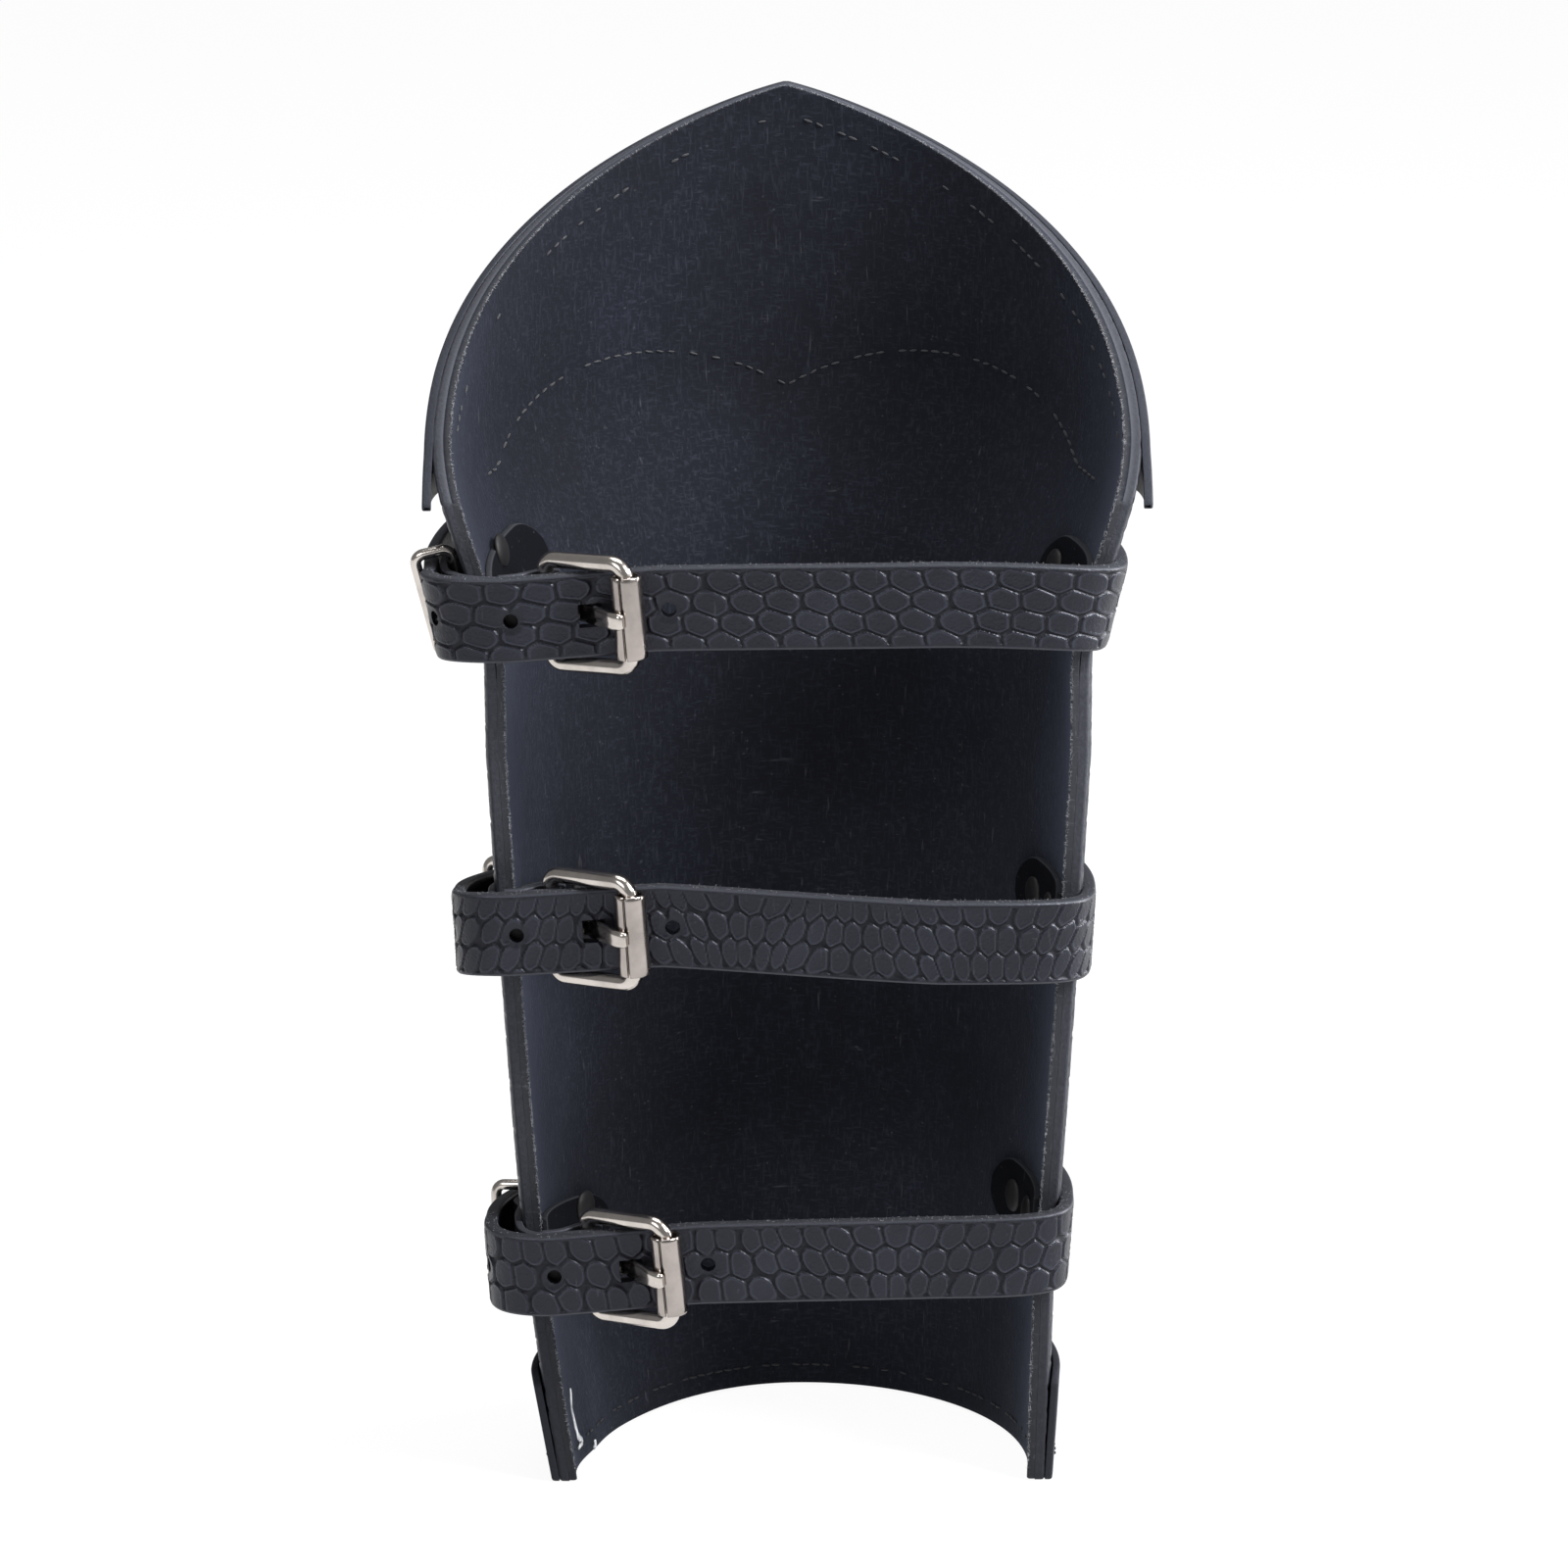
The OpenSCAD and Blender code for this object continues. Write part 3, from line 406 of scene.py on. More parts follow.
def strip(name, low, high, at, thick, front_rows, back_rows, e, relief=None, tip=(0, 0), crisp=0.3):
    """A strap between its edge lines, with eased edges and rounded tips of the given lengths."""
    n = len(at)
    middle = (low + high) / 2
    across = high - low
    full = np.linalg.norm(across, axis=1)
    across /= full[:, None]
    along = np.gradient(middle, axis=0)
    along /= np.linalg.norm(along, axis=1)[:, None]
    out = -np.cross(along, across)
    out /= np.linalg.norm(out, axis=1)[:, None]
    half = full / 2
    for length, far in ((tip[0], at), (tip[1], at[-1] - at)):
        if length > 0:
            past = np.clip(1 - (far + TIP_START) / length, 0, 1)
            half = half * np.sqrt(np.clip(1 - past ** 2, 0, 1))
    ends = (e, 0.5 * e, 0.13 * e)
    stations = [(0, i) for i in ends] + [(i, 0) for i in range(n)] + [(n - 1, i) for i in ends[::-1]]
    f_front = np.linspace(-1, 1, front_rows)
    f_back = np.linspace(1, -1, back_rows)
    corner = QUARTER[1:-1]
    points, course, cross, cuts, marks = [], [], [], [], []
    for i, inset in stations:
        h, t = max(half[i] - inset, 0.2), thick / 2 - inset
        c = min(e, 0.45 * t, 0.45 * h)
        rise, turn = c * (1 - np.sin(corner)), c * (1 - np.cos(corner))
        v = np.concatenate([f_front * (h - c), h - rise, [h, h], h - turn,
                            f_back * (h - c), rise - h, [-h, -h], turn - h])
        d = np.concatenate([np.full(front_rows, t), t - turn, [t - c, c - t], rise - t,
                            np.full(back_rows, -t), turn - t, [c - t, t - c], t - rise])
        s = np.full(len(v), at[i])
        up = np.zeros(len(v))
        if relief is not None and inset == 0:
            fade = np.clip((half[i] - c - np.abs(v)) / STRIP_BORDER, 0, 1)
            up = np.where(d >= t - 1e-6, relief(s, v) * fade, 0)
        points.append(middle[i] + across[i] * v[:, None] + out[i] * (d + up)[:, None])
        course.append(s)
        cross.append(v)
        cuts.append(np.clip((thick / 2 - np.abs(d)) / (crisp * thick), 0, 1))
        marks.append(up)
    ring = len(points[0])
    return mesh_from(name, np.concatenate(points), tube_faces(len(stations), ring), True,
                     {"course": np.concatenate(course) * MM, "cross": np.concatenate(cross) * MM,
                      "cut": np.concatenate(cuts), "relief": np.concatenate(marks)})


def bezier(p, t):
    p = [np.asarray(q, float) for q in p]
    t = np.asarray(t)[:, None]
    return p[0] * (1 - t) ** 3 + p[1] * 3 * t * (1 - t) ** 2 + p[2] * 3 * t * t * (1 - t) + p[3] * t ** 3


def raised(line, z):
    out = np.array(line, float)
    out[:, 2] += z
    return out


# The buckle: the strap lies straight between the anchor's fold and the roller. Angles are round the shell,
# and the fold's and the anchor's ends are measured back from the pivot bar and from the ring.
FOLD_R = BAR_R + RUNNING + ANCHOR_T
PIVOT_Y = -EDGE_Y - ANCHOR_STAND + FOLD_R
STRAP_Y = PIVOT_Y - FOLD_R - SOFT - STRAP_T / 2
ANCHOR_Y = PIVOT_Y - FOLD_R + ANCHOR_T / 2
ROLLER_STAND = FOLD_R + SOFT + STRAP_T + SOFT + ROLLER_R
BUCKLE_TILT = math.degrees(math.asin(ROLLER_STAND / BUCKLE_L))
ROLLER_DX = BUCKLE_L * math.cos(math.radians(BUCKLE_TILT))
LEFT_TURN_A, TAIL_TURN_A, FIXED_A, TURN_A = 183.5, 182.5, 31.0, -3.0
FOLD_BACK, ANCHOR_BACK, RIVET_BACK = 9.0, 19.0, 13.5
STRAP_RIVET_A = (8.0, 20.0)


# How one strap lies: heights, leans and distances from the shell, from its row of STRAPS
def side_z(k, a):
    return k["left"] - k["fall"] * np.radians(LEFT_TURN_A - a) * mid_r(k["left"])


def ring_z(k):
    return side_z(k, k["ring"])


def ring_lean(k):
    return math.atan(lean_tan(ring_z(k)))


def ring_half(k):
    lean = ring_lean(k)
    half_strap = STRAP_W / 2 / math.cos(lean) + STRAP_T / 2 * math.tan(lean)
    return round_up(half_strap + (RING_IN - STRAP_W) / 2) + RING_R


def ring_lift(k):
    return (2 * RING_R + ANCHOR_T + STRAP_T / 2 + 3 * SOFT) * math.tan(ring_lean(k))


def ring_first(k):
    z, reach = ring_z(k), ring_half(k) + RING_R
    return round_up(SOFT + max(0, proud(z, ring_lift(k) + reach), proud(z, ring_lift(k) - reach))) + RING_R


def ring_anchor(k):
    return ring_first(k) + RING_R + SOFT + ANCHOR_T / 2


def ring_tail(k):
    return ring_anchor(k) + ANCHOR_T / 2 + SOFT + STRAP_T / 2


def ring_out(k):
    return ring_tail(k) + STRAP_T / 2 + SOFT + RING_R


def level(k, d):
    return d * math.hypot(1, lean_tan(k["left"]))


def tail_off(k, a):
    return mix(ring_tail(k), max(k["bulge"], ring_tail(k)), ease((a - k["ring"] - 3) / 20))


def tail_a(k):
    return k["ring"] - math.degrees(TAIL_L / (mid_r(k["left"]) + ring_tail(k)))


def buckle_z(k, x):
    return k["pivot"] + (x - k["x"]) * math.tan(math.radians(k["slope"]))


def skew(k, h):
    return math.degrees(h * k["fall"] / mid_r(k["left"]))


def strap_line(k, side):
    """One edge of a strap: fixed end, right bend, front, buckle, left bend and free end."""
    h = side * STRAP_W / 2
    rr = shell_r(k["right"] + h) + 2 * BOND + STRAP_T / 2
    a0 = around(rr, TURN_A, 0)
    front = np.array([0.5 * WAIST_R, STRAP_Y - k["bow"], 0])
    s1 = np.array([k["x"] + ROLLER_DX + 6, STRAP_Y, 0])
    s2 = np.array([k["x"] - FOLD_BACK, STRAP_Y, 0])
    off = tail_off(k, TAIL_TURN_A)
    b0 = around(chord_r(k["left"], h) + level(k, off), TAIL_TURN_A, 0)
    wide = chord_r(k["left"], 0.3 * h) + k["bulge"] + 2
    turn = [b0, b0 - [max(0, k["bulge"] - off) + 0.6, 6, 0], [-wide, STRAP_Y + 0.3, 0], s2]
    t = np.linspace(0, 1, 80)
    right_bend = bezier([a0, a0 + [0, -14, 0], front + [28, 0, 0], front], t)
    to_buckle = bezier([front, front - [20, 0, 0], s1 + [18, 0, 0], s1], t)
    straight = mix(s1[None], s2[None], t[:, None])
    a = np.linspace(TAIL_TURN_A, tail_a(k), 120)
    z = side_z(k, a)
    tail_r = chord_r(z, h) + level(k, tail_off(k, a))
    return np.concatenate([
        around(rr, np.linspace(FIXED_A, TURN_A, 80), k["right"] + h),
        raised(right_bend, mix(k["right"], k["front"], ease(t)) + h),
        raised(to_buckle, mix(k["front"], buckle_z(k, s1[0]), t) + h),
        raised(straight, buckle_z(k, straight[:, 0]) + h),
        raised(bezier(turn, t[::-1]), mix(k["left"], buckle_z(k, s2[0]), ease(t[::-1])) + h),
        around(tail_r, a - skew(k, h) * np.linspace(0, 1, 120), z + h),
    ])


def at_pivot(k):
    place = Matrix.Translation((k["x"], PIVOT_Y, k["pivot"]))
    return place @ Matrix.Rotation(math.radians(-k["slope"]), 4, "Y")


def on_shell(a, z):
    """A place on the shell's face: X points outwards and Z up along the wall."""
    out = Matrix.Rotation(math.radians(a), 4, "Z") @ Matrix.Translation((float(mid_r(z)), 0, z))
    return out @ Matrix.Rotation(math.atan(lean_tan(z)), 4, "Y")


def placed(matrix, points):
    m = np.array(matrix)
    p = np.asarray(points, float)
    return p @ m[:3, :3].T + m[:3, 3]


def anchor_lift(k, a):
    from_ring = np.where(a > k["ring"], a - k["ring"] - 2.3, k["ring"] - a - 3.6)
    return mix(ring_anchor(k), 2 * BOND + ANCHOR_T / 2, ease(from_ring / 6))


def anchor_line(k, side):
    """One edge of an anchor strap: riveted end, over the ring, round the long edge, and round the pivot."""
    h = side * ANCHOR_W / 2
    a = np.linspace(k["ring"] - ANCHOR_BACK, LEFT_TURN_A, 160)
    z = side_z(k, a)
    place = lambda b: around(chord_r(k["left"], h) + level(k, anchor_lift(k, b)), b, 0)
    a0 = place(LEFT_TURN_A)
    d = place(LEFT_TURN_A + 0.5) - place(LEFT_TURN_A - 0.5)
    end = np.array([k["x"] - FOLD_BACK, ANCHOR_Y, 0])
    t = np.linspace(0, 1, 60)
    turn = bezier([a0, a0 + 7 * d / np.linalg.norm(d), end - [7, 0, 0], end], t)
    r = FOLD_R - ANCHOR_T / 2
    f = np.radians(np.linspace(-90, 128, 60))
    back_y = -FOLD_R + 1.5 * ANCHOR_T + 0.06
    fold = [(x, -r) for x in np.linspace(-FOLD_BACK + 1, 0, 12)]
    fold += [(r * math.cos(b), r * math.sin(b)) for b in f]
    fold += [(-3.6, 1.1), (-5, -0.3), (-6.4, back_y), (-8, back_y), (-10.5, back_y)]
    fold = placed(at_pivot(k), [(x, y, h) for x, y in fold])
    return np.concatenate([
        around(chord_r(z, h) + level(k, anchor_lift(k, a)), a - skew(k, h) * np.linspace(1, 0, 160), z + h),
        raised(turn, mix(k["left"], buckle_z(k, end[0]), ease(t)) + h),
        fold,
    ])


# Cutting holes through a piece
def cut_away(piece, cutters):
    for cutter in cutters:
        tool = piece.modifiers.new("hole", "BOOLEAN")
        tool.operation = "DIFFERENCE"
        tool.object = cutter
        tool.solver = "EXACT"
    bpy.context.view_layer.update()
    result = bpy.data.meshes.new_from_object(piece.evaluated_get(bpy.context.evaluated_depsgraph_get()))
    piece.modifiers.clear()
    old = piece.data
    piece.data = result
    bpy.data.meshes.remove(old)
    for cutter in cutters:
        bpy.data.objects.remove(cutter)


def punch(name, centre, direction, radius, length=8, sides=28):
    """A round punch: a hidden cutter, removed after use."""
    turn = Vector(direction).to_track_quat("Z", "Y").to_matrix()
    f = np.linspace(0, 2 * math.pi, sides, endpoint=False)
    points = []
    for end in (-0.5, 0.5):
        ring = np.stack([radius * np.cos(f), radius * np.sin(f), np.full(sides, end * length)], -1)
        points.append(ring @ np.array(turn).T + np.asarray(centre))
    return mesh_from(name, np.concatenate(points), tube_faces(2, sides), False)


def block(name, matrix, low, high):
    """A box-shaped cutter between two corners in a place of its own."""
    corners = [(x, y, z) for z in (low[2], high[2]) for x, y in
               ((low[0], low[1]), (high[0], low[1]), (high[0], high[1]), (low[0], high[1]))]
    return mesh_from(name, placed(matrix, corners), tube_faces(2, 4), False)


# Bent wire and bar
STRAIGHT_STEP = 1.5


def swept(name, path, radius, sides, matrix):
    """A closed round bar along a path in the XZ plane of its own place."""
    path = np.asarray(path, float)
    n = len(path)
    along = np.roll(path, -1, axis=0) - np.roll(path, 1, axis=0)
    along /= np.linalg.norm(along, axis=1)[:, None]
    side = np.stack([along[:, 2], np.zeros(n), -along[:, 0]], -1)
    up = np.cross(along, side)
    f = np.linspace(0, 2 * math.pi, sides, endpoint=False)
    section = side[:, None] * np.cos(f)[None, :, None] + up[:, None] * np.sin(f)[None, :, None]
    rings = path[:, None] + radius * section
    return mesh_from(name, placed(matrix, rings.reshape(-1, 3)), tube_faces(n, sides, closed=True))


def loop_path(x0, x1, half_h, bend0, bend1, steps=10):
    """A rounded rectangle in the XZ plane with its own bend at each end, its straight runs split evenly."""
    corners = ((x1 - bend1, half_h - bend1, 0, bend1), (x0 + bend0, half_h - bend0, 90, bend0),
               (x0 + bend0, -half_h + bend0, 180, bend0), (x1 - bend1, -half_h + bend1, 270, bend1))
    path = []
    for cx, cz, start, b in corners:
        for f in np.radians(np.linspace(start, start + 90, steps)):
            path.append(np.array([cx + b * math.cos(f), 0, cz + b * math.sin(f)]))
    dense = []
    for i, p in enumerate(path):
        q = path[(i + 1) % len(path)]
        parts = max(1, int(math.dist(p, q) / STRAIGHT_STEP))
        dense += [p + (q - p) * j / parts for j in range(parts)]
    return dense


def buckle_frame(name, k):
    place = at_pivot(k) @ Matrix.Rotation(math.radians(-BUCKLE_TILT), 4, "Z")
    path = loop_path(0, BUCKLE_L, BUCKLE_IN / 2 + BAR_R, PIVOT_BEND, ROLLER_BEND)
    return swept(name, path, BAR_R, 20, place)


def keeper_ring(name, k):
    place = on_shell(k["ring"], float(ring_z(k))) @ Matrix.Translation((0, 0, ring_lift(k)))
    place = place @ Matrix.Rotation(math.atan(k["fall"]), 4, "X")
    path = loop_path(ring_first(k), ring_out(k), ring_half(k), RING_BEND, RING_BEND)
    return swept(name, path, RING_R, 18, place)


ROLLER_SEAM_A, ROLLER_EDGE = 246, 0.28


def roller(name, k):
    """Rolled sheet metal with an open seam and slightly turned-in ends."""
    place = at_pivot(k) @ Matrix.Translation((ROLLER_DX, -ROLLER_STAND, 0))
    seam = math.asin(ROLLER_SEAM / 2 / ROLLER_R)
    middle = math.radians(ROLLER_SEAM_A)
    f = np.linspace(middle + seam, middle - seam + 2 * math.pi, 44)
    half = ROLLER_L / 2
    end = [(half - 1.2, 0), (half - ROLLER_EDGE, 0), (half - 0.08, 0.13), (half, ROLLER_EDGE)]
    profile = [(-z, inset) for z, inset in end[::-1]] + [(0, 0)] + end
    sections = []
    for z, inset in profile:
        r_out, r_in = ROLLER_R - inset, ROLLER_R - ROLLER_WALL + 0.4 * inset
        sections += [(r_out * math.cos(b), r_out * math.sin(b), z) for b in f]
        sections += [(r_in * math.cos(b), r_in * math.sin(b), z) for b in f[::-1]]
    return mesh_from(name, placed(place, sections), tube_faces(len(profile), 2 * len(f)))


PRONG_ANGLE = math.radians(58.5)
PRONG_IN = np.array([8.0, FOLD_R - 0.35])


def prong_line():
    """The prong's middle line, as distances along the strap and out from the pivot bar."""
    direction = np.array([math.cos(PRONG_ANGLE), math.sin(PRONG_ANGLE)])
    rest = ROLLER_R + PRONG_T / 2 + 0.1
    points = [(BAR_R + EYE_T / 2, 0.5), (5, 1.1), tuple(PRONG_IN)]
    points += [tuple(PRONG_IN + d * direction) for d in (2.5, 5, 7.5)]
    for a in np.radians([150, 128, 104]):
        points.append((ROLLER_DX + rest * math.cos(a), ROLLER_STAND + rest * math.sin(a)))
    return np.array(points)


def superellipse(w, t, sides=20):
    """A section with well rounded corners, as places across and out."""
    section = []
    for f in np.linspace(0, 2 * math.pi, sides, endpoint=False):
        across, up = math.cos(f), math.sin(f)
        section.append((w * math.copysign(abs(across) ** 0.7, across), t * math.copysign(abs(up) ** 0.8, up)))
    return section


def prong(name, k):
    """A bent strip with rounded edges that narrows to its tip, and the eye round the pivot."""
    line = prong_line()
    run = np.concatenate([[0], np.cumsum(np.linalg.norm(np.diff(line, axis=0), axis=1))])
    at = np.linspace(0, run[-1], 46)
    even = np.stack([np.interp(at, run, line[:, i]) for i in range(2)], -1)
    even = smoothed(even, bell(5, 2.2))
    along = np.gradient(even, axis=0)
    along /= np.linalg.norm(along, axis=1)[:, None]
    out = np.stack([-along[:, 1], along[:, 0]], -1)
    points = []
    n = len(even)
    for i in range(n):
        near = (n - 1 - i) / (n - 1)
        w = PRONG_W / 2 * mix(0.8, 1, min(1, near * 2.2))
        inset = {0: 0.45, 1: 0.15}.get(n - 1 - i, 0)
        for z, d in superellipse(w - inset, PRONG_T / 2 - inset):
            x, y = even[i] + out[i] * d
            points.append((x, -y, z))
    body = mesh_from(name, placed(at_pivot(k), points), tube_faces(n, 20))
    return joined(body, prong_eye(name + "_eye", k))


def prong_eye(name, k):
    """The prong's eye: a ring with eased rims round the pivot bar."""
    inner, half, e, turns = BAR_R + RUNNING, PRONG_W / 2, 0.3, 30
    outer = inner + EYE_T
    profile = [(outer - e, -half), (outer, -half + e), (outer, half - e)]
    profile += [(outer - e, half), (inner, half), (inner, -half)]
    sections = []
    for b in np.linspace(0, 2 * math.pi, turns, endpoint=False):
        sections += [(r * math.cos(b), r * math.sin(b), z) for r, z in profile]
    return mesh_from(name, placed(at_pivot(k), sections), tube_faces(turns, len(profile), closed=True))


def joined(piece, *others):
    """Puts other pieces' meshes into one piece, which stays at the origin."""
    work = bmesh.new()
    work.from_mesh(piece.data)
    for other in others:
        work.from_mesh(other.data)
    work.to_mesh(piece.data)
    work.free()
    for other in others:
        bpy.data.objects.remove(other)
    return piece


def backing_tab(name, side, z, reach, turn, half):
    """A tab on the lining from the front edge to a round end, whose far part lifts a little."""
    front, e, rows = -EDGE_Y + 2, 0.35, 12
    round_end = half * np.sin(np.radians(np.linspace(0, 84, 16)))
    us = np.concatenate([[front, front + 0.1, front + e], np.linspace(front + 1, reach - half, 22)[:-1],
                         reach - half + round_end, [reach - 0.02]])
    n = len(us)
    ends = {0: e, 1: 0.4 * e, n - 1: e, n - 2: 0.4 * e}
    points, cuts = [], []
    for i, u in enumerate(us):
        h = half if u < reach - half else math.sqrt(max(half ** 2 - (u - reach + half) ** 2, 0.05))
        inset = ends.get(i, 0)
        h = max(h - inset, 0.15)
        c = min(e, 0.4 * h)
        v = np.concatenate([np.linspace(-h + c, h - c, rows), [h - 0.3 * c, h, h, h - 0.3 * c],
                            np.linspace(h - c, -h + c, rows), [-h + 0.3 * c, -h, -h, -h + 0.3 * c]])
        d = np.concatenate([np.zeros(rows), [0.3 * c, c, TAB_T - c, TAB_T - 0.3 * c],
                            np.full(rows, TAB_T), [TAB_T - 0.3 * c, TAB_T - c, c, 0.3 * c]])
        d = inset + d * (TAB_T - 2 * inset) / TAB_T
        y = u * math.cos(turn) - v * math.sin(turn)
        zz = z + u * math.sin(turn) + v * math.cos(turn)
        lift = np.clip((u - reach * 0.55) / (reach * 0.45), 0, 1) ** 2 * 0.35
        r = shell_r(zz) - LINING_IN - BOND - d - lift
        x = side * np.sqrt(np.maximum(r * r - y * y, 0))
        points.append(np.stack([x, y, zz], -1))
        cuts.append(np.clip(np.minimum(d, TAB_T - d) / (0.3 * TAB_T), 0, 1))
    ring = len(points[0])
    return mesh_from(name, np.concatenate(points), tube_faces(n, ring), True, {"cut": np.concatenate(cuts)})


# Geometry node trees for what repeats
def geometry_tree(name, inputs):
    tree = bpy.data.node_groups.new(name, "GeometryNodeTree")
    tree.interface.new_socket("Geometry", in_out="INPUT", socket_type="NodeSocketGeometry")
    for label, kind, default in inputs:
        made = tree.interface.new_socket(label, in_out="INPUT", socket_type="NodeSocket" + kind)
        if default is not None:
            made.default_value = default
    tree.interface.new_socket("Geometry", in_out="OUTPUT", socket_type="NodeSocketGeometry")
    return tree, tree.nodes.new("NodeGroupInput"), tree.nodes.new("NodeGroupOutput")


def wire(tree, source, target):
    tree.links.new(source, target)


def maths(tree, operation, a, b=None, c=None, clamp=False):
    made = tree.nodes.new("ShaderNodeMath")
    made.operation = operation
    made.use_clamp = clamp
    for i, value in enumerate((a, b, c)):
        if value is None:
            continue
        if isinstance(value, (int, float)):
            made.inputs[i].default_value = value
        else:
            wire(tree, value, made.inputs[i])
    return made.outputs[0]


def vector_field(tree, name):
    field = tree.nodes.new("GeometryNodeInputNamedAttribute")
    field.data_type = "FLOAT_VECTOR"
    field.inputs["Name"].default_value = name
    return field.outputs["Attribute"]


def turned_to_surface(tree):
    """The turn that lays an instance's Z along the outward direction and its X along the seam."""
    axes = tree.nodes.new("FunctionNodeAxesToRotation")
    axes.primary_axis = "Z"
    axes.secondary_axis = "X"
    wire(tree, vector_field(tree, "outward"), axes.inputs["Primary Axis"])
    wire(tree, vector_field(tree, "along"), axes.inputs["Secondary Axis"])
    return axes.outputs["Rotation"]


def closing_nodes(tree, geometry, start, end):
    realize = tree.nodes.new("GeometryNodeRealizeInstances")
    smooth = tree.nodes.new("GeometryNodeSetShadeSmooth")
    paint = tree.nodes.new("GeometryNodeSetMaterial")
    wire(tree, geometry, realize.inputs["Geometry"])
    wire(tree, realize.outputs["Geometry"], smooth.inputs["Geometry"])
    wire(tree, smooth.outputs["Geometry"], paint.inputs["Geometry"])
    wire(tree, start.outputs["Material"], paint.inputs["Material"])
    wire(tree, paint.outputs["Geometry"], end.inputs["Geometry"])


def rounded_grain(tree, start, sizes, segments, rings):
    """A rounded body as wide as the named sizes: stitch, rivet head or fibre."""
    ball = tree.nodes.new("GeometryNodeMeshUVSphere")
    ball.inputs["Segments"].default_value = segments
    ball.inputs["Rings"].default_value = rings
    ball.inputs["Radius"].default_value = 0.5
    size = tree.nodes.new("ShaderNodeCombineXYZ")
    for axis, label in zip("XYZ", sizes):
        wire(tree, start.outputs[label], size.inputs[axis])
    form = tree.nodes.new("GeometryNodeTransform")
    wire(tree, ball.outputs["Mesh"], form.inputs["Geometry"])
    wire(tree, size.outputs["Vector"], form.inputs["Scale"])
    return form.outputs["Geometry"]


def build_row_tree(name, sizes, segments, rings, wobble):
    """Repeats one rounded body at every point of a mesh, laid along it, with a little unevenness."""
    inputs = [(label, "Float", value) for label, value in sizes.items()]
    inputs += [("Unevenness", "Float", wobble), ("Seed", "Int", 1), ("Material", "Material", None)]
    tree, start, end = geometry_tree(name, inputs)
    body = rounded_grain(tree, start, sizes, segments, rings)
    uneven = tree.nodes.new("FunctionNodeRandomValue")
    uneven.data_type = "FLOAT"
    wire(tree, maths(tree, "SUBTRACT", 1.0, start.outputs["Unevenness"]), uneven.inputs[2])
    wire(tree, maths(tree, "ADD", 1.0, start.outputs["Unevenness"]), uneven.inputs[3])
    wire(tree, start.outputs["Seed"], uneven.inputs["Seed"])
    lay = tree.nodes.new("GeometryNodeInstanceOnPoints")
    wire(tree, start.outputs["Geometry"], lay.inputs["Points"])
    wire(tree, body, lay.inputs["Instance"])
    wire(tree, turned_to_surface(tree), lay.inputs["Rotation"])
    wire(tree, uneven.outputs[1], lay.inputs["Scale"])
    closing_nodes(tree, lay.outputs["Instances"], start, end)
    return tree


STITCH_ROW = build_row_tree("stitch_row", dict(Length=0.0019, Width=0.00048, Height=0.0005), 10, 7, 0.12)
RIVET_ROW = build_row_tree("rivet_row", dict(Length=0.0076, Width=0.0076, Height=0.0024), 28, 12, 0.0)
FIBRE_ROW = build_row_tree("fibre_row", dict(Length=0.00006, Width=0.00006, Height=0.0011), 4, 3, 0.45)


def set_input(modifier, label, value):
    for item in modifier.node_group.interface.items_tree:
        if item.item_type == "SOCKET" and item.in_out == "INPUT" and item.name == label:
            modifier[item.identifier] = value


def row_of(name, tree, places, outward, along, material, **sizes):
    """Makes the repeated bodies of a tree at the given places, as one plain mesh."""
    mesh = bpy.data.meshes.new(name)
    mesh.from_pydata((np.asarray(places) * MM).tolist(), [], [])
    for label, values in (("outward", outward), ("along", along)):
        layer = mesh.attributes.new(label, "FLOAT_VECTOR", "POINT")
        layer.data.foreach_set("vector", np.asarray(values, np.float32).ravel())
    piece = link(name, mesh)
    modifier = piece.modifiers.new("row", "NODES")
    modifier.node_group = tree
    for label, value in sizes.items():
        set_input(modifier, label, value)
    set_input(modifier, "Material", material)
    bpy.context.view_layer.update()
    made = bpy.data.meshes.new_from_object(piece.evaluated_get(bpy.context.evaluated_depsgraph_get()))
    piece.modifiers.clear()
    piece.data = made
    bpy.data.meshes.remove(mesh)
    return piece


# Shared shader groups
def shader_group(name, inputs, outputs):
    tree = bpy.data.node_groups.new(name, "ShaderNodeTree")
    for label, default in inputs:
        made = tree.interface.new_socket(label, in_out="INPUT", socket_type="NodeSocketFloat")
        made.default_value = default
    for label in outputs:
        tree.interface.new_socket(label, in_out="OUTPUT", socket_type="NodeSocketFloat")
    return tree, tree.nodes.new("NodeGroupInput"), tree.nodes.new("NodeGroupOutput")


def node(tree, kind, settings=None, **values):
    made = tree.nodes.new(kind)
    for label, value in (settings or {}).items():
        setattr(made, label, value)
    for label, value in values.items():
        made.inputs[label.replace("_", " ")].default_value = value
    return made


def noise(tree, place, scale, detail=4.0, rough=0.55, stretch=None):
    if stretch is not None:
        mapping = node(tree, "ShaderNodeMapping")
        mapping.inputs["Scale"].default_value = stretch[0]
        mapping.inputs["Rotation"].default_value = stretch[1]
        wire(tree, place, mapping.inputs["Vector"])
        place = mapping.outputs["Vector"]
    made = node(tree, "ShaderNodeTexNoise", None, Detail=detail, Roughness=rough)
    wire(tree, place, made.inputs["Vector"])
    if isinstance(scale, (int, float)):
        made.inputs["Scale"].default_value = scale
    else:
        wire(tree, scale, made.inputs["Scale"])
    return made.outputs["Fac"]


def window(tree, value, low, high):
    """0 below low and 1 above high."""
    made = node(tree, "ShaderNodeMapRange")
    made.inputs["From Min"].default_value = low
    made.inputs["From Max"].default_value = high
    wire(tree, value, made.inputs["Value"])
    return made.outputs["Result"]


def object_place(tree):
    return tree.nodes.new("ShaderNodeTexCoord").outputs["Object"]


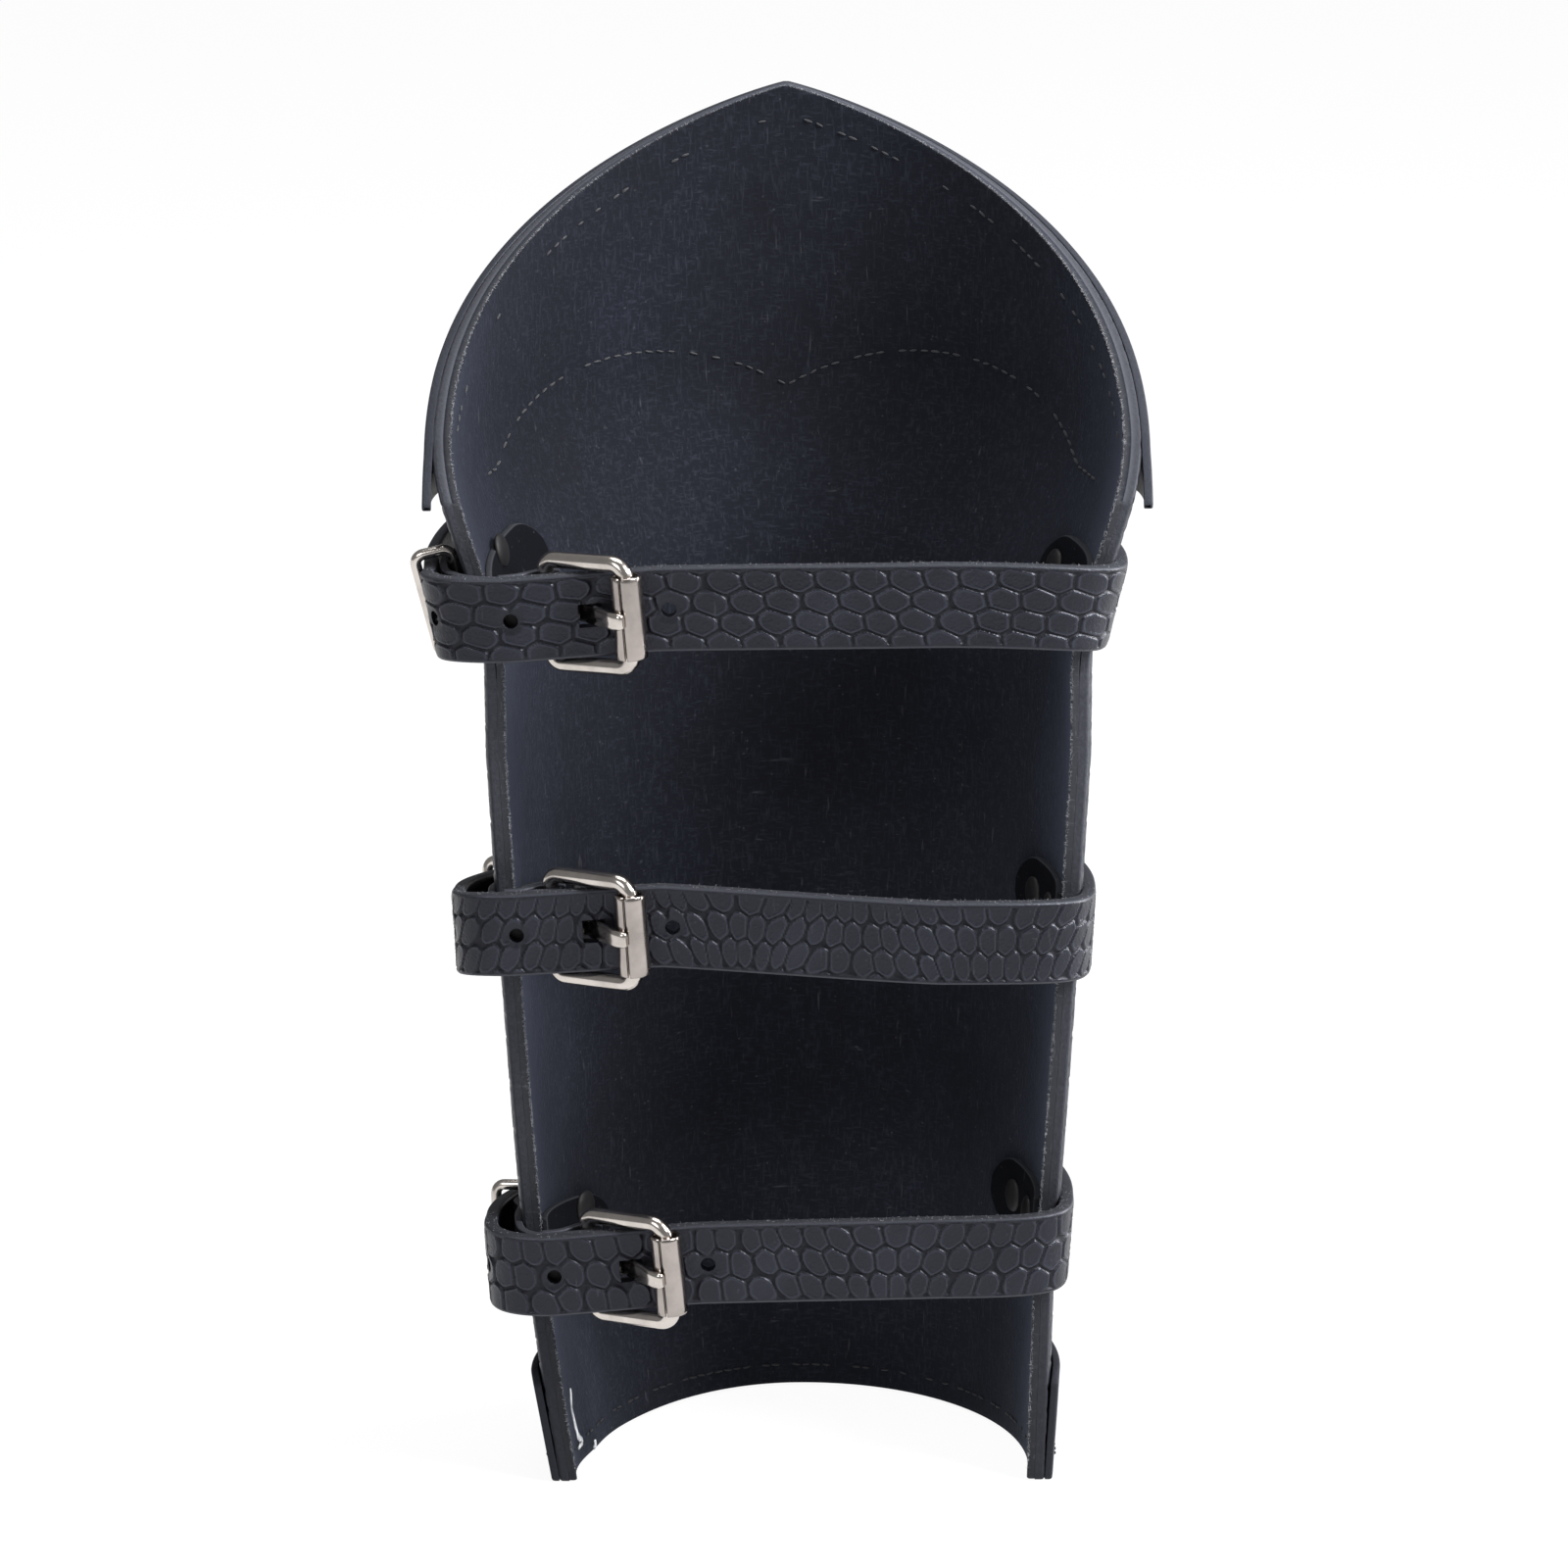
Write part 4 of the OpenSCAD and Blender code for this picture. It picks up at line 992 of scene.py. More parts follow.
def build_hide_grain():
    """Fine pebbled hide with pores and faint creases: Height for a bump, Tone for colour and roughness."""
    tree, start, end = shader_group("hide_grain", (("Scale", 900.0), ("Crease", 0.4)), ("Height", "Tone"))
    place = object_place(tree)
    cells = node(tree, "ShaderNodeTexVoronoi", {"feature": "DISTANCE_TO_EDGE"})
    wire(tree, place, cells.inputs["Vector"])
    wire(tree, start.outputs["Scale"], cells.inputs["Scale"])
    pebble = window(tree, cells.outputs["Distance"], 0.0, 0.32)
    pores = noise(tree, place, 2600.0, 3, 0.6)
    crease = noise(tree, place, 170.0, 5, 0.7)
    lines = maths(tree, "ABSOLUTE", maths(tree, "SUBTRACT", crease, 0.5))
    lines = window(tree, lines, 0.0, 0.05)
    height = maths(tree, "ADD", maths(tree, "MULTIPLY", pebble, 0.6), maths(tree, "MULTIPLY", pores, 0.35))
    height = maths(tree, "ADD", height, maths(tree, "MULTIPLY", lines, start.outputs["Crease"]))
    wire(tree, height, end.inputs["Height"])
    tone = noise(tree, place, 38.0, 6, 0.65)
    wire(tree, window(tree, tone, 0.3, 0.72), end.inputs["Tone"])
    return tree


def build_dust():
    """Lint, specks and short pale fibres: a mask from 0 to 1."""
    tree, start, end = shader_group("lint_and_specks", (("Amount", 0.5),), ("Mask",))
    place = object_place(tree)
    specks = node(tree, "ShaderNodeTexVoronoi", {"feature": "F1"}, Scale=620.0, Randomness=1.0)
    wire(tree, place, specks.inputs["Vector"])
    dots = window(tree, specks.outputs["Distance"], 0.22, 0.08)
    chosen = noise(tree, place, 240.0, 2, 0.5)
    dots = maths(tree, "MULTIPLY", dots, window(tree, chosen, 0.56, 0.66))
    hairs = noise(tree, place, 900.0, 2, 0.5, ((1.0, 1.0, 0.12), (0.5, 0.3, 0.9)))
    hairs = window(tree, hairs, 0.70, 0.78)
    crossing = noise(tree, place, 900.0, 2, 0.5, ((0.12, 1.0, 1.0), (0.2, 0.9, 0.4)))
    hairs = maths(tree, "MAXIMUM", hairs, window(tree, crossing, 0.71, 0.79))
    mask = maths(tree, "MULTIPLY", maths(tree, "MAXIMUM", dots, hairs), start.outputs["Amount"], clamp=True)
    wire(tree, mask, end.inputs["Mask"])
    return tree


def build_nap():
    """Brushed suede: patches where the nap lies another way, fine fibres, and their height."""
    tree, start, end = shader_group("brushed_nap", (("Fineness", 1.0),), ("Tone", "Fibres", "Height"))
    place = object_place(tree)
    patch = noise(tree, place, 16.0, 5, 0.6)
    strokes = noise(tree, place, 60.0, 4, 0.6, ((1.0, 1.0, 0.35), (0.0, 0.35, 0.0)))
    tone = maths(tree, "ADD", maths(tree, "MULTIPLY", patch, 0.6), maths(tree, "MULTIPLY", strokes, 0.4))
    wire(tree, window(tree, tone, 0.34, 0.68), end.inputs["Tone"])
    fine_scale = maths(tree, "MULTIPLY", start.outputs["Fineness"], 1500.0)
    one = noise(tree, place, fine_scale, 3, 0.6, ((1.0, 1.0, 0.2), (0.3, 0.5, 0.1)))
    two = noise(tree, place, fine_scale, 3, 0.6, ((0.25, 0.6, 1.0), (0.1, 0.7, 0.6)))
    fibres = maths(tree, "MAXIMUM", one, two)
    wire(tree, window(tree, fibres, 0.52, 0.74), end.inputs["Fibres"])
    height = maths(tree, "ADD", maths(tree, "MULTIPLY", fibres, 0.7), maths(tree, "MULTIPLY", strokes, 0.3))
    wire(tree, height, end.inputs["Height"])
    return tree


def build_scratches():
    """Fine brush marks and rubbed spots of worn plating."""
    tree, start, end = shader_group("fine_scratches", (("Scale", 1.0),), ("Marks", "Rub"))
    place = object_place(tree)
    scale = maths(tree, "MULTIPLY", start.outputs["Scale"], 900.0)
    one = noise(tree, place, scale, 3, 0.6, ((0.06, 1.0, 1.0), (0.0, 0.3, 0.5)))
    two = noise(tree, place, scale, 3, 0.6, ((1.0, 1.0, 0.05), (0.4, 0.1, 0.2)))
    marks = maths(tree, "ADD", maths(tree, "MULTIPLY", one, 0.5), maths(tree, "MULTIPLY", two, 0.5))
    wire(tree, marks, end.inputs["Marks"])
    wire(tree, window(tree, noise(tree, place, 130.0, 5, 0.6), 0.42, 0.7), end.inputs["Rub"])
    return tree


HIDE_GRAIN = build_hide_grain()
DUST = build_dust()
NAP = build_nap()
SCRATCHES = build_scratches()


def grouped(tree, group, **values):
    made = tree.nodes.new("ShaderNodeGroup")
    made.node_tree = group
    for label, value in values.items():
        made.inputs[label].default_value = value
    return made


def blend_colour(tree, factor, first, second):
    """Between two colours by a factor; each is a colour or an output."""
    made = node(tree, "ShaderNodeMix", {"data_type": "RGBA"})
    wire(tree, factor, made.inputs["Factor"])
    for label, value in ((6, first), (7, second)):
        if isinstance(value, tuple):
            made.inputs[label].default_value = (*value, 1)
        else:
            wire(tree, value, made.inputs[label])
    return made.outputs[2]


def float_attribute(tree, name):
    made = tree.nodes.new("ShaderNodeAttribute")
    made.attribute_name = name
    return made.outputs["Fac"]


def tinted(colour, share):
    """A colour made lighter or darker by a share."""
    return tuple(min(1, share * c) for c in colour)


def raw_edge_colour(tree, fibre, cut):
    """The colour of a raw edge: uneven fibres, and darker towards the wrist."""
    apart = tree.nodes.new("ShaderNodeSeparateXYZ")
    wire(tree, object_place(tree), apart.inputs[0])
    # darker towards the bottom: the edge colour falls to 0.3 of itself lower down and is full 0.19 m up
    high = window(tree, apart.outputs["Z"], -0.03, 0.19)
    pale = blend_colour(tree, high, tinted(cut, 0.3), cut)
    between = maths(tree, "MULTIPLY", window(tree, fibre, 0.7, 0.35), 0.45)
    return blend_colour(tree, between, pale, (0.006, 0.0065, 0.008))


def bumped(tree, height, distance, strength, shader, below=None):
    bump = node(tree, "ShaderNodeBump", None, Distance=distance, Strength=strength)
    wire(tree, height, bump.inputs["Height"])
    if below is not None:
        wire(tree, below, bump.inputs["Normal"])
    wire(tree, bump.outputs["Normal"], shader.inputs["Normal"])
    return bump.outputs["Normal"]


def new_material(name, **fixed):
    material = bpy.data.materials.new(name)
    material.use_nodes = True
    shader = material.node_tree.nodes["Principled BSDF"]
    for label, value in fixed.items():
        shader.inputs[label.replace("_", " ")].default_value = value
    return material, material.node_tree, shader


LINT, HIDE_GLOSS = (0.12, 0.125, 0.14), (0.84, 0.86, 1.0)


def leather_material(name, dark, light, cut, rough, grain=900.0, crease=0.25, highlight_share=0.0, high=(0.12, 0.34),
                     low=(0.16, 0.0), bump=0.00008, lint=0.12, gloss=0.42):
    """Black hide: grained face, painted highlights on high places, painted shade in dull grooves, and paler
    fibrous cut edges.

    high and low are the relief, in millimetres, between which a place gets the painted highlight and between
    which it counts as a groove with painted shade."""
    material, tree, shader = new_material(name)
    shader.inputs["Specular IOR Level"].default_value = gloss
    shader.inputs["Specular Tint"].default_value = (*HIDE_GLOSS, 1)
    hide = grouped(tree, HIDE_GRAIN, Scale=grain, Crease=crease)
    dust = grouped(tree, DUST, Amount=lint)
    face = blend_colour(tree, hide.outputs["Tone"], dark, light)
    shine = maths(tree, "ADD", maths(tree, "MULTIPLY", hide.outputs["Tone"], 0.16), rough - 0.08)
    if highlight_share > 0:
        relief = float_attribute(tree, "relief")
        # painted highlight: the plates' raised rims are made lighter where light would catch them, and a
        # little less rough
        rim_highlight = maths(tree, "MULTIPLY", window(tree, relief, *high), highlight_share)
        # painted shade: the grooves between the plates are made darker, as shade would fall in them; they are
        # also rougher
        groove = window(tree, relief, *low)
        face = blend_colour(tree, maths(tree, "MULTIPLY", groove, 0.55), face, tinted(dark, 0.35))
        face = blend_colour(tree, rim_highlight, face, tinted(light, 3.2))
        shine = maths(tree, "ADD", shine, maths(tree, "MULTIPLY", groove, 0.25))
        shine = maths(tree, "SUBTRACT", shine, maths(tree, "MULTIPLY", rim_highlight, 0.15))
    fibre = noise(tree, object_place(tree), 1300.0, 4, 0.7)
    cut_mark = float_attribute(tree, "cut")
    at_cut = window(tree, cut_mark, 0.25, 0.9)
    colour = blend_colour(tree, at_cut, face, raw_edge_colour(tree, fibre, cut))
    # painted highlight: a pale line where the face turns into the cut edge, standing in for light catching
    # the edge's corner
    first = window(tree, cut_mark, 0.02, 0.3)
    line = maths(tree, "MULTIPLY", maths(tree, "MULTIPLY", first, maths(tree, "SUBTRACT", 1.0, at_cut)), 0.8)
    colour = blend_colour(tree, line, colour, tinted(cut, 1.5))
    colour = blend_colour(tree, dust.outputs["Mask"], colour, LINT)
    wire(tree, colour, shader.inputs["Base Color"])
    shine = maths(tree, "ADD", shine, maths(tree, "MULTIPLY", at_cut, 0.3), clamp=True)
    wire(tree, shine, shader.inputs["Roughness"])
    raw_height = maths(tree, "MULTIPLY", maths(tree, "MULTIPLY", fibre, at_cut), 1.5)
    bumped(tree, maths(tree, "ADD", hide.outputs["Height"], raw_height), bump, 0.7, shader)
    return material


SUEDE_LINT, SUEDE_CUT = (0.16, 0.165, 0.19), (0.056, 0.058, 0.068)


def suede_material(name, dark, light, fibre_colour, lint):
    """Brushed suede: a soft sheen, pale fibres where the nap stands, and paler cut edges."""
    material, tree, shader = new_material(name)
    shader.inputs["Specular IOR Level"].default_value = 0.2
    shader.inputs["Sheen Weight"].default_value = 0.16
    shader.inputs["Sheen Roughness"].default_value = 0.45
    shader.inputs["Sheen Tint"].default_value = (0.42, 0.48, 0.68, 1)
    nap = grouped(tree, NAP, Fineness=1.0)
    dust = grouped(tree, DUST, Amount=lint)
    colour = blend_colour(tree, nap.outputs["Tone"], dark, light)
    standing = maths(tree, "ADD", maths(tree, "MULTIPLY", nap.outputs["Tone"], 0.5), 0.15)
    lit = maths(tree, "MULTIPLY", nap.outputs["Fibres"], standing)
    colour = blend_colour(tree, lit, colour, fibre_colour)
    edge = window(tree, float_attribute(tree, "cut"), 0.2, 0.9)
    colour = blend_colour(tree, edge, colour, raw_edge_colour(tree, nap.outputs["Fibres"], SUEDE_CUT))
    colour = blend_colour(tree, dust.outputs["Mask"], colour, SUEDE_LINT)
    wire(tree, colour, shader.inputs["Base Color"])
    shine = maths(tree, "ADD", maths(tree, "MULTIPLY", nap.outputs["Tone"], 0.1), 0.82)
    wire(tree, shine, shader.inputs["Roughness"])
    bumped(tree, nap.outputs["Height"], 0.00025, 0.8, shader)
    return material


def metal_material(name, base, rubbed, rough, metallic=1.0):
    """Metal with fine brush marks and duller rubbed spots."""
    material, tree, shader = new_material(name, Metallic=metallic)
    marks = grouped(tree, SCRATCHES, Scale=1.0)
    wire(tree, blend_colour(tree, marks.outputs["Rub"], base, rubbed), shader.inputs["Base Color"])
    shine = maths(tree, "ADD", maths(tree, "MULTIPLY", marks.outputs["Marks"], 0.16), rough - 0.06)
    shine = maths(tree, "ADD", shine, maths(tree, "MULTIPLY", marks.outputs["Rub"], 0.07), clamp=True)
    wire(tree, shine, shader.inputs["Roughness"])
    bumped(tree, marks.outputs["Marks"], 0.00003, 0.35, shader)
    return material


def thread_material(name, dark, light, sheen=0.3):
    """Twisted thread or loose fibre."""
    material, tree, shader = new_material(name, Roughness=0.6)
    shader.inputs["Sheen Weight"].default_value = sheen
    twist = noise(tree, object_place(tree), 1400.0, 3, 0.6, ((1.0, 1.0, 0.4), (0.6, 0.2, 0.7)))
    wire(tree, blend_colour(tree, window(tree, twist, 0.35, 0.65), dark, light), shader.inputs["Base Color"])
    bumped(tree, twist, 0.0001, 0.8, shader)
    return material


def glue_material():
    """Dried glue, glossy and whitish in streaks."""
    material, tree, shader = new_material("dried_glue", Roughness=0.22)
    shader.inputs["Specular IOR Level"].default_value = 0.6
    streak = noise(tree, object_place(tree), 320.0, 4, 0.6)
    colour = blend_colour(tree, window(tree, streak, 0.35, 0.65), (0.30, 0.31, 0.34), (0.80, 0.82, 0.85))
    wire(tree, colour, shader.inputs["Base Color"])
    bumped(tree, streak, 0.0003, 0.8, shader)
    return material


HIDE_DARK, HIDE_LIGHT = (0.005, 0.0055, 0.0075), (0.011, 0.012, 0.0155)
# The shell and the scaled straps get painted highlights on the high places of their relief and painted shade
# in its grooves.
SHELL_LEATHER = leather_material("shell_leather", HIDE_DARK, HIDE_LIGHT,
                                 (0.048, 0.050, 0.060), 0.44, highlight_share=0.3)
PLATE_LEATHER = leather_material("plate_leather", HIDE_DARK, HIDE_LIGHT, (0.018, 0.0195, 0.027), 0.46)
SCALED_LEATHER = leather_material("scaled_leather", (0.0028, 0.0031, 0.0050), (0.0056, 0.0061, 0.0092),
                                  (0.026, 0.0275, 0.034), 0.38, highlight_share=0.7,
                                  high=(0.01, 0.09), low=(-0.14, -0.44))
STRAP_LEATHER = leather_material("strap_leather", (0.0036, 0.004, 0.0055), (0.0070, 0.0076, 0.0100),
                                 (0.034, 0.036, 0.044), 0.5)
TAB_LEATHER = leather_material("tab_leather", (0.0016, 0.0018, 0.0026), (0.0032, 0.0036, 0.005),
                               (0.034, 0.036, 0.041), 0.85, lint=0.2, gloss=0.12)
BLACK_SUEDE = suede_material("black_suede", (0.0026, 0.0032, 0.0062), (0.0072, 0.0087, 0.0155),
                             (0.030, 0.034, 0.048), 0.16)
FUZZ = thread_material("pale_fuzz", (0.12, 0.125, 0.14), (0.34, 0.35, 0.38))
THREAD = thread_material("thread", (0.006, 0.007, 0.010), (0.019, 0.021, 0.026))
DARK_THREAD = thread_material("dark_thread", (0.002, 0.0023, 0.0036), (0.0048, 0.0054, 0.0082), 0.1)
NICKEL = metal_material("nickel", (0.66, 0.61, 0.57), (0.52, 0.475, 0.44), 0.15)
# painted shade: the roller gets a darker copy of the nickel, standing in for the darker reflections on its
# face
DARKER_ROLLER_NICKEL = metal_material("roller_nickel", (0.44, 0.395, 0.37), (0.35, 0.315, 0.295), 0.18)
DARK_RIVET = metal_material("dark_rivet", (0.006, 0.006, 0.0075), (0.014, 0.0135, 0.0135), 0.56, 0.2)
GLUE = glue_material()


# The shell, its lining, the elbow plate and the wrist cuff. The shell and the lining meet within the glue
# line, with almost square borders, so that their cut edges read as one.
GLUE_LINE, SQUARE = 0.01, 0.03
SCALE_W, SCALE_H, SCALE_GROOVE, SCALE_RELIEF = 8.4, 5.6, 0.85, 0.45


def shell_scales(s, z):
    emboss = scales(s / SCALE_W, z / SCALE_H, SCALE_W, SCALE_H, 5, groove=SCALE_GROOVE)
    return SCALE_RELIEF * emboss + 0.12 * soft_noise(s, z, 3, 60)


def lining_lumps(s, z):
    return 0.10 * soft_noise(s, z, 11, 34) + 0.04 * soft_noise(s, z, 12, 9)


def plate_lumps(s, z):
    return 0.12 * soft_noise(s, z, 21, 45)


def foot(a):
    return 0.0


def lining_foot(a):
    return LINING_LIFT


def lining_r(z):
    return shell_r(z) - LEATHER_T - GLUE_LINE


def plate_outer(z):
    return plate_r(z) + PLATE_T


def cuff_outer(z):
    return cuff_r(z) + CUFF_T


def make_walls():
    """The four layers of leather. The three counts are columns, rows outside and rows inside."""
    shell = wall("outer_shell_leather", foot, arch_edge, shell_r, LEATHER_T,
                 256, 340, 24, (0.5, SQUARE), outer_relief=shell_scales)
    dress(shell, SHELL_LEATHER, "shell_leather", "bracer", "outer_shell")
    lining = wall("suede_lining_sheet", lining_foot, arch_edge, lining_r, LINING_T + BOND - GLUE_LINE,
                  200, 60, 260, (SQUARE, 0.45), inner_relief=lining_lumps)
    dress(lining, BLACK_SUEDE, "black_suede", "bracer", "suede_lining")
    plate = wall("elbow_plate_leather", plate_edge, arch_edge, plate_outer, PLATE_T,
                 230, 90, 60, (0.45, 0.3), outer_relief=plate_lumps)
    dress(plate, PLATE_LEATHER, "plate_leather", "bracer", "elbow_plate")
    cuff = wall("wrist_cuff_leather", foot, cuff_edge, cuff_outer, CUFF_T,
                180, 40, 24, (0.6, 0.3), outer_relief=plate_lumps)
    dress(cuff, PLATE_LEATHER, "plate_leather", "bracer", "wrist_cuff")


make_walls()


# Seams: separate stitches along the same paths as the lines of thread in the solids
STITCH_STAND, STITCH_L_INSIDE, STITCH_L_OUTSIDE, STITCH_SLANT = 0.12, 1.95, 2.1, 0.09


def inside_arch(a):
    """Angle and height of the places that lie EDGE_SEAM_IN inside the arch's edge."""
    d = np.stack([round_s(a + 0.5) - round_s(a - 0.5), arch_edge(a + 0.5) - arch_edge(a - 0.5)], -1)
    u = d / np.linalg.norm(d, axis=-1, keepdims=True)
    side, high = round_s(a) + EDGE_SEAM_IN * u[..., 1], arch_edge(a) - EDGE_SEAM_IN * u[..., 0]
    return np.stack([angle_at(side), high], -1)


def arch_path():
    left, right = np.arange(3, 88.0, 3), np.arange(93, 178.0, 3)
    return np.concatenate([inside_arch(left), [[90, SHELL_H - 1.06 * EDGE_SEAM_IN]], inside_arch(right)])


def lobed_path():
    """Two arcs above the plate's lobes, with nearly level ends."""
    a, end = np.arange(16, 164.1, 2), 65
    z = lobe_height(a, LOBE_R + LOBE_SEAM_IN)
    level_z = lobe_height(90.0 + end, LOBE_R + LOBE_SEAM_IN) - 0.1 * (np.abs(a - 90) - end)
    return np.stack([a, np.where(np.abs(a - 90) <= end, z, level_z)], -1)


def wrist_path():
    return np.stack([np.linspace(-5, 185, 120), np.full(120, WRIST_SEAM_Z)], -1)


def stitched(name, path, radius, pitch, material, outside, length, seed, missing=0.0):
    """Stitches at an even pitch along a path of angle and height, on the face at the given radius."""
    flat = np.stack([round_s(path[:, 0]), path[:, 1]], -1)
    run = np.concatenate([[0], np.cumsum(np.linalg.norm(np.diff(flat, axis=0), axis=1))])
    at = np.arange(0.5 * pitch, run[-1], pitch)
    at = at[np.random.default_rng(seed + 7).random(len(at)) >= missing]
    a = angle_at(np.interp(at, run, flat[:, 0]))
    z = np.interp(at, run, flat[:, 1])
    ahead_a = angle_at(np.interp(at + 0.5, run, flat[:, 0]))
    ahead_z = np.interp(at + 0.5, run, flat[:, 1])
    here, ahead = settled(around(radius(z), a, z)), settled(around(radius(ahead_z), ahead_a, ahead_z))
    along = ahead - here
    along /= np.maximum(np.linalg.norm(along, axis=1), 1e-6)[:, None]
    outward = around(1.0 if outside else -1.0, a, 0)
    draw = np.random.default_rng(seed)
    slant = draw.normal(0, STITCH_SLANT, len(at))
    sideways = np.cross(outward, along)
    along = along + sideways * slant[:, None]
    return row_of(name, STITCH_ROW, here, outward, along, material, Length=length * MM, Seed=seed)


def inside_face(z):
    return shell_r(z) - LINING_IN - STITCH_STAND


def plate_face(z):
    return plate_outer(z) + STITCH_STAND


def cuff_face(z):
    return cuff_outer(z) + STITCH_STAND


def seam(name, node_name, path, outer_face, pitch, seed, missing, material):
    """Stitches on both faces of the wall; inside, the given share of them has sunk into the suede."""
    inner = stitched(name + "_in", path, inside_face, pitch, material, False, STITCH_L_INSIDE, seed, missing)
    outer = stitched(name, path, outer_face, pitch, material, True, STITCH_L_OUTSIDE, seed + 1)
    dress(joined(outer, inner), material, "thread", "bracer", node_name)


seam("arch_stitches", "arch_seam", arch_path(), plate_face, 2.75, 31, 0.48, THREAD)
seam("lobed_stitches", "lobed_seam", lobed_path(), plate_face, 2.75, 41, 0.18, THREAD)
seam("wrist_stitches", "wrist_seam", wrist_path(), cuff_face, 3.4, 51, 0.3, DARK_THREAD)


# Pale fibres that stand off cut edges, and a smear of dried glue
RIM_FIBRES, STRAP_FIBRES = 5200, 420


def fuzz(name, places, lean, slot, length, seed):
    """Short fibres at places, leaning roughly along the given direction."""
    draw = np.random.default_rng(seed)
    n = len(places)
    outward = lean + draw.normal(0, 0.75, (n, 3))
    outward /= np.linalg.norm(outward, axis=1)[:, None]
    along = np.cross(outward, draw.normal(0, 1, (n, 3)))
    piece = row_of(name, FIBRE_ROW, places, outward, along, FUZZ, Height=length * MM, Seed=seed)
    return dress(piece, FUZZ, slot, "bracer")


def lining_rim():
    """Fibres all along the lining's rim: up one long edge, over the arch and down the other."""
    z = np.linspace(3, ARCH_Z - 10, 160)
    side = np.degrees(np.arcsin(EDGE_Y / (shell_r(z) - LINING_IN)))
    a = np.linspace(-6, 186, 400)
    path_a = np.concatenate([-side, a, 180 + side[::-1]])
    path_z = np.concatenate([z, arch_edge(a) - 0.1, z[::-1]])
    draw = np.random.default_rng(77)
    line = around(shell_r(path_z) - LINING_IN, path_a, path_z)
    run = np.concatenate([[0], np.cumsum(np.linalg.norm(np.diff(line, axis=0), axis=1))])
    at = np.sort(draw.uniform(0, run[-1], RIM_FIBRES))
    z, a = np.interp(at, run, path_z), np.interp(at, run, path_a)
    places = settled(around(shell_r(z) - LINING_IN + draw.uniform(-0.05, 0.4, len(at)), a, z))
    fuzz("lining_rim_fuzz", places, np.array([0, -0.5, 0.3]), "black_suede", 0.75, 78)


def glue_smear(name, spots):
    """A thin run of glue on the lining, through places given as angle, height and half width."""
    t = np.linspace(0, len(spots) - 1, 40)
    a, z, w = (np.interp(t, range(len(spots)), [spot[i] for spot in spots]) for i in range(3))
    middle = settled(around(shell_r(z) - LINING_IN - 0.08, a, z))
    along = np.gradient(middle, axis=0)
    along /= np.linalg.norm(along, axis=1)[:, None]
    inward = around(-1.0, a, 0)
    across = np.cross(along, inward)
    f = np.linspace(0, 2 * math.pi, 10, endpoint=False)
    w = w * (1 + 0.35 * np.sin(t * 5.3) * np.sin(t * 2.1))
    rings = middle[:, None] + (w[:, None, None] * np.cos(f)[None, :, None]) * across[:, None]
    rings = rings + (np.minimum(w, 0.3)[:, None, None] * np.sin(f)[None, :, None]) * inward[:, None]
    piece = mesh_from(name, rings.reshape(-1, 3), tube_faces(40, 10))
    dress(piece, GLUE, "black_suede", "bracer")


lining_rim()
glue_smear("glue_run", [(175.2, 18.0, 0.17), (177.6, 14.0, 0.51), (177.0, 10.0, 0.85),
                         (176.4, 6.8, 1.27), (174.4, 4.4, 0.94), (177.8, 4.0, 0.34)])
glue_smear("glue_spot", [(166.4, 2.4, 0.34), (166.8, 1.2, 0.85), (168.2, 0.8, 0.34)])


# Scale patterns of the straps: size, slant and lean of the plates, given at distances along each strap
def upper_scales(s, v):
    turn = np.radians(np.interp(s, [70, 95, 140, 165], [4, 22, 20, 4]))
    return scales(s / 8.0, v / 4.75 + 0.2, 8.0, 4.75, 1, 0.16, 0.48, -0.3, 0.87, turn)


def middle_scales(s, v):
    slant = np.interp(s, [55, 88, 106, 118, 140, 170, 200], [0.5, -0.4, 0.05, 0.45, -0.5, 0.2, 0.35])
    return scales((s + slant * v) / 4.25, v / 6.3 + 0.35, 4.25, 6.3, 2, 0.22, 0.4, 0.45, 0.92)


def lower_scales(s, v):
    places, slants = [50, 75, 90, 100, 112, 130, 160, 185], [0.1, 0.3, -0.1, -0.45, -0.35, 0, -0.3, 0.1]
    slant = np.interp(s, places, slants)
    return scales((s + slant * v) / 5.4, v / 6.1 + 0.5, 5.4, 6.1, 4, 0.26, 0.42, 0.5, 0.9)


PATTERNS = {"upper": upper_scales, "middle": middle_scales, "lower": lower_scales}
STRAP_STEP, STRAP_RELIEF = 0.34, 0.5
HOLE_PRESSED, HOLE_RIM_IN, HOLE_RIM_OUT = -0.22, 1.7, 3.2
SLOT_LEFT = 1.75


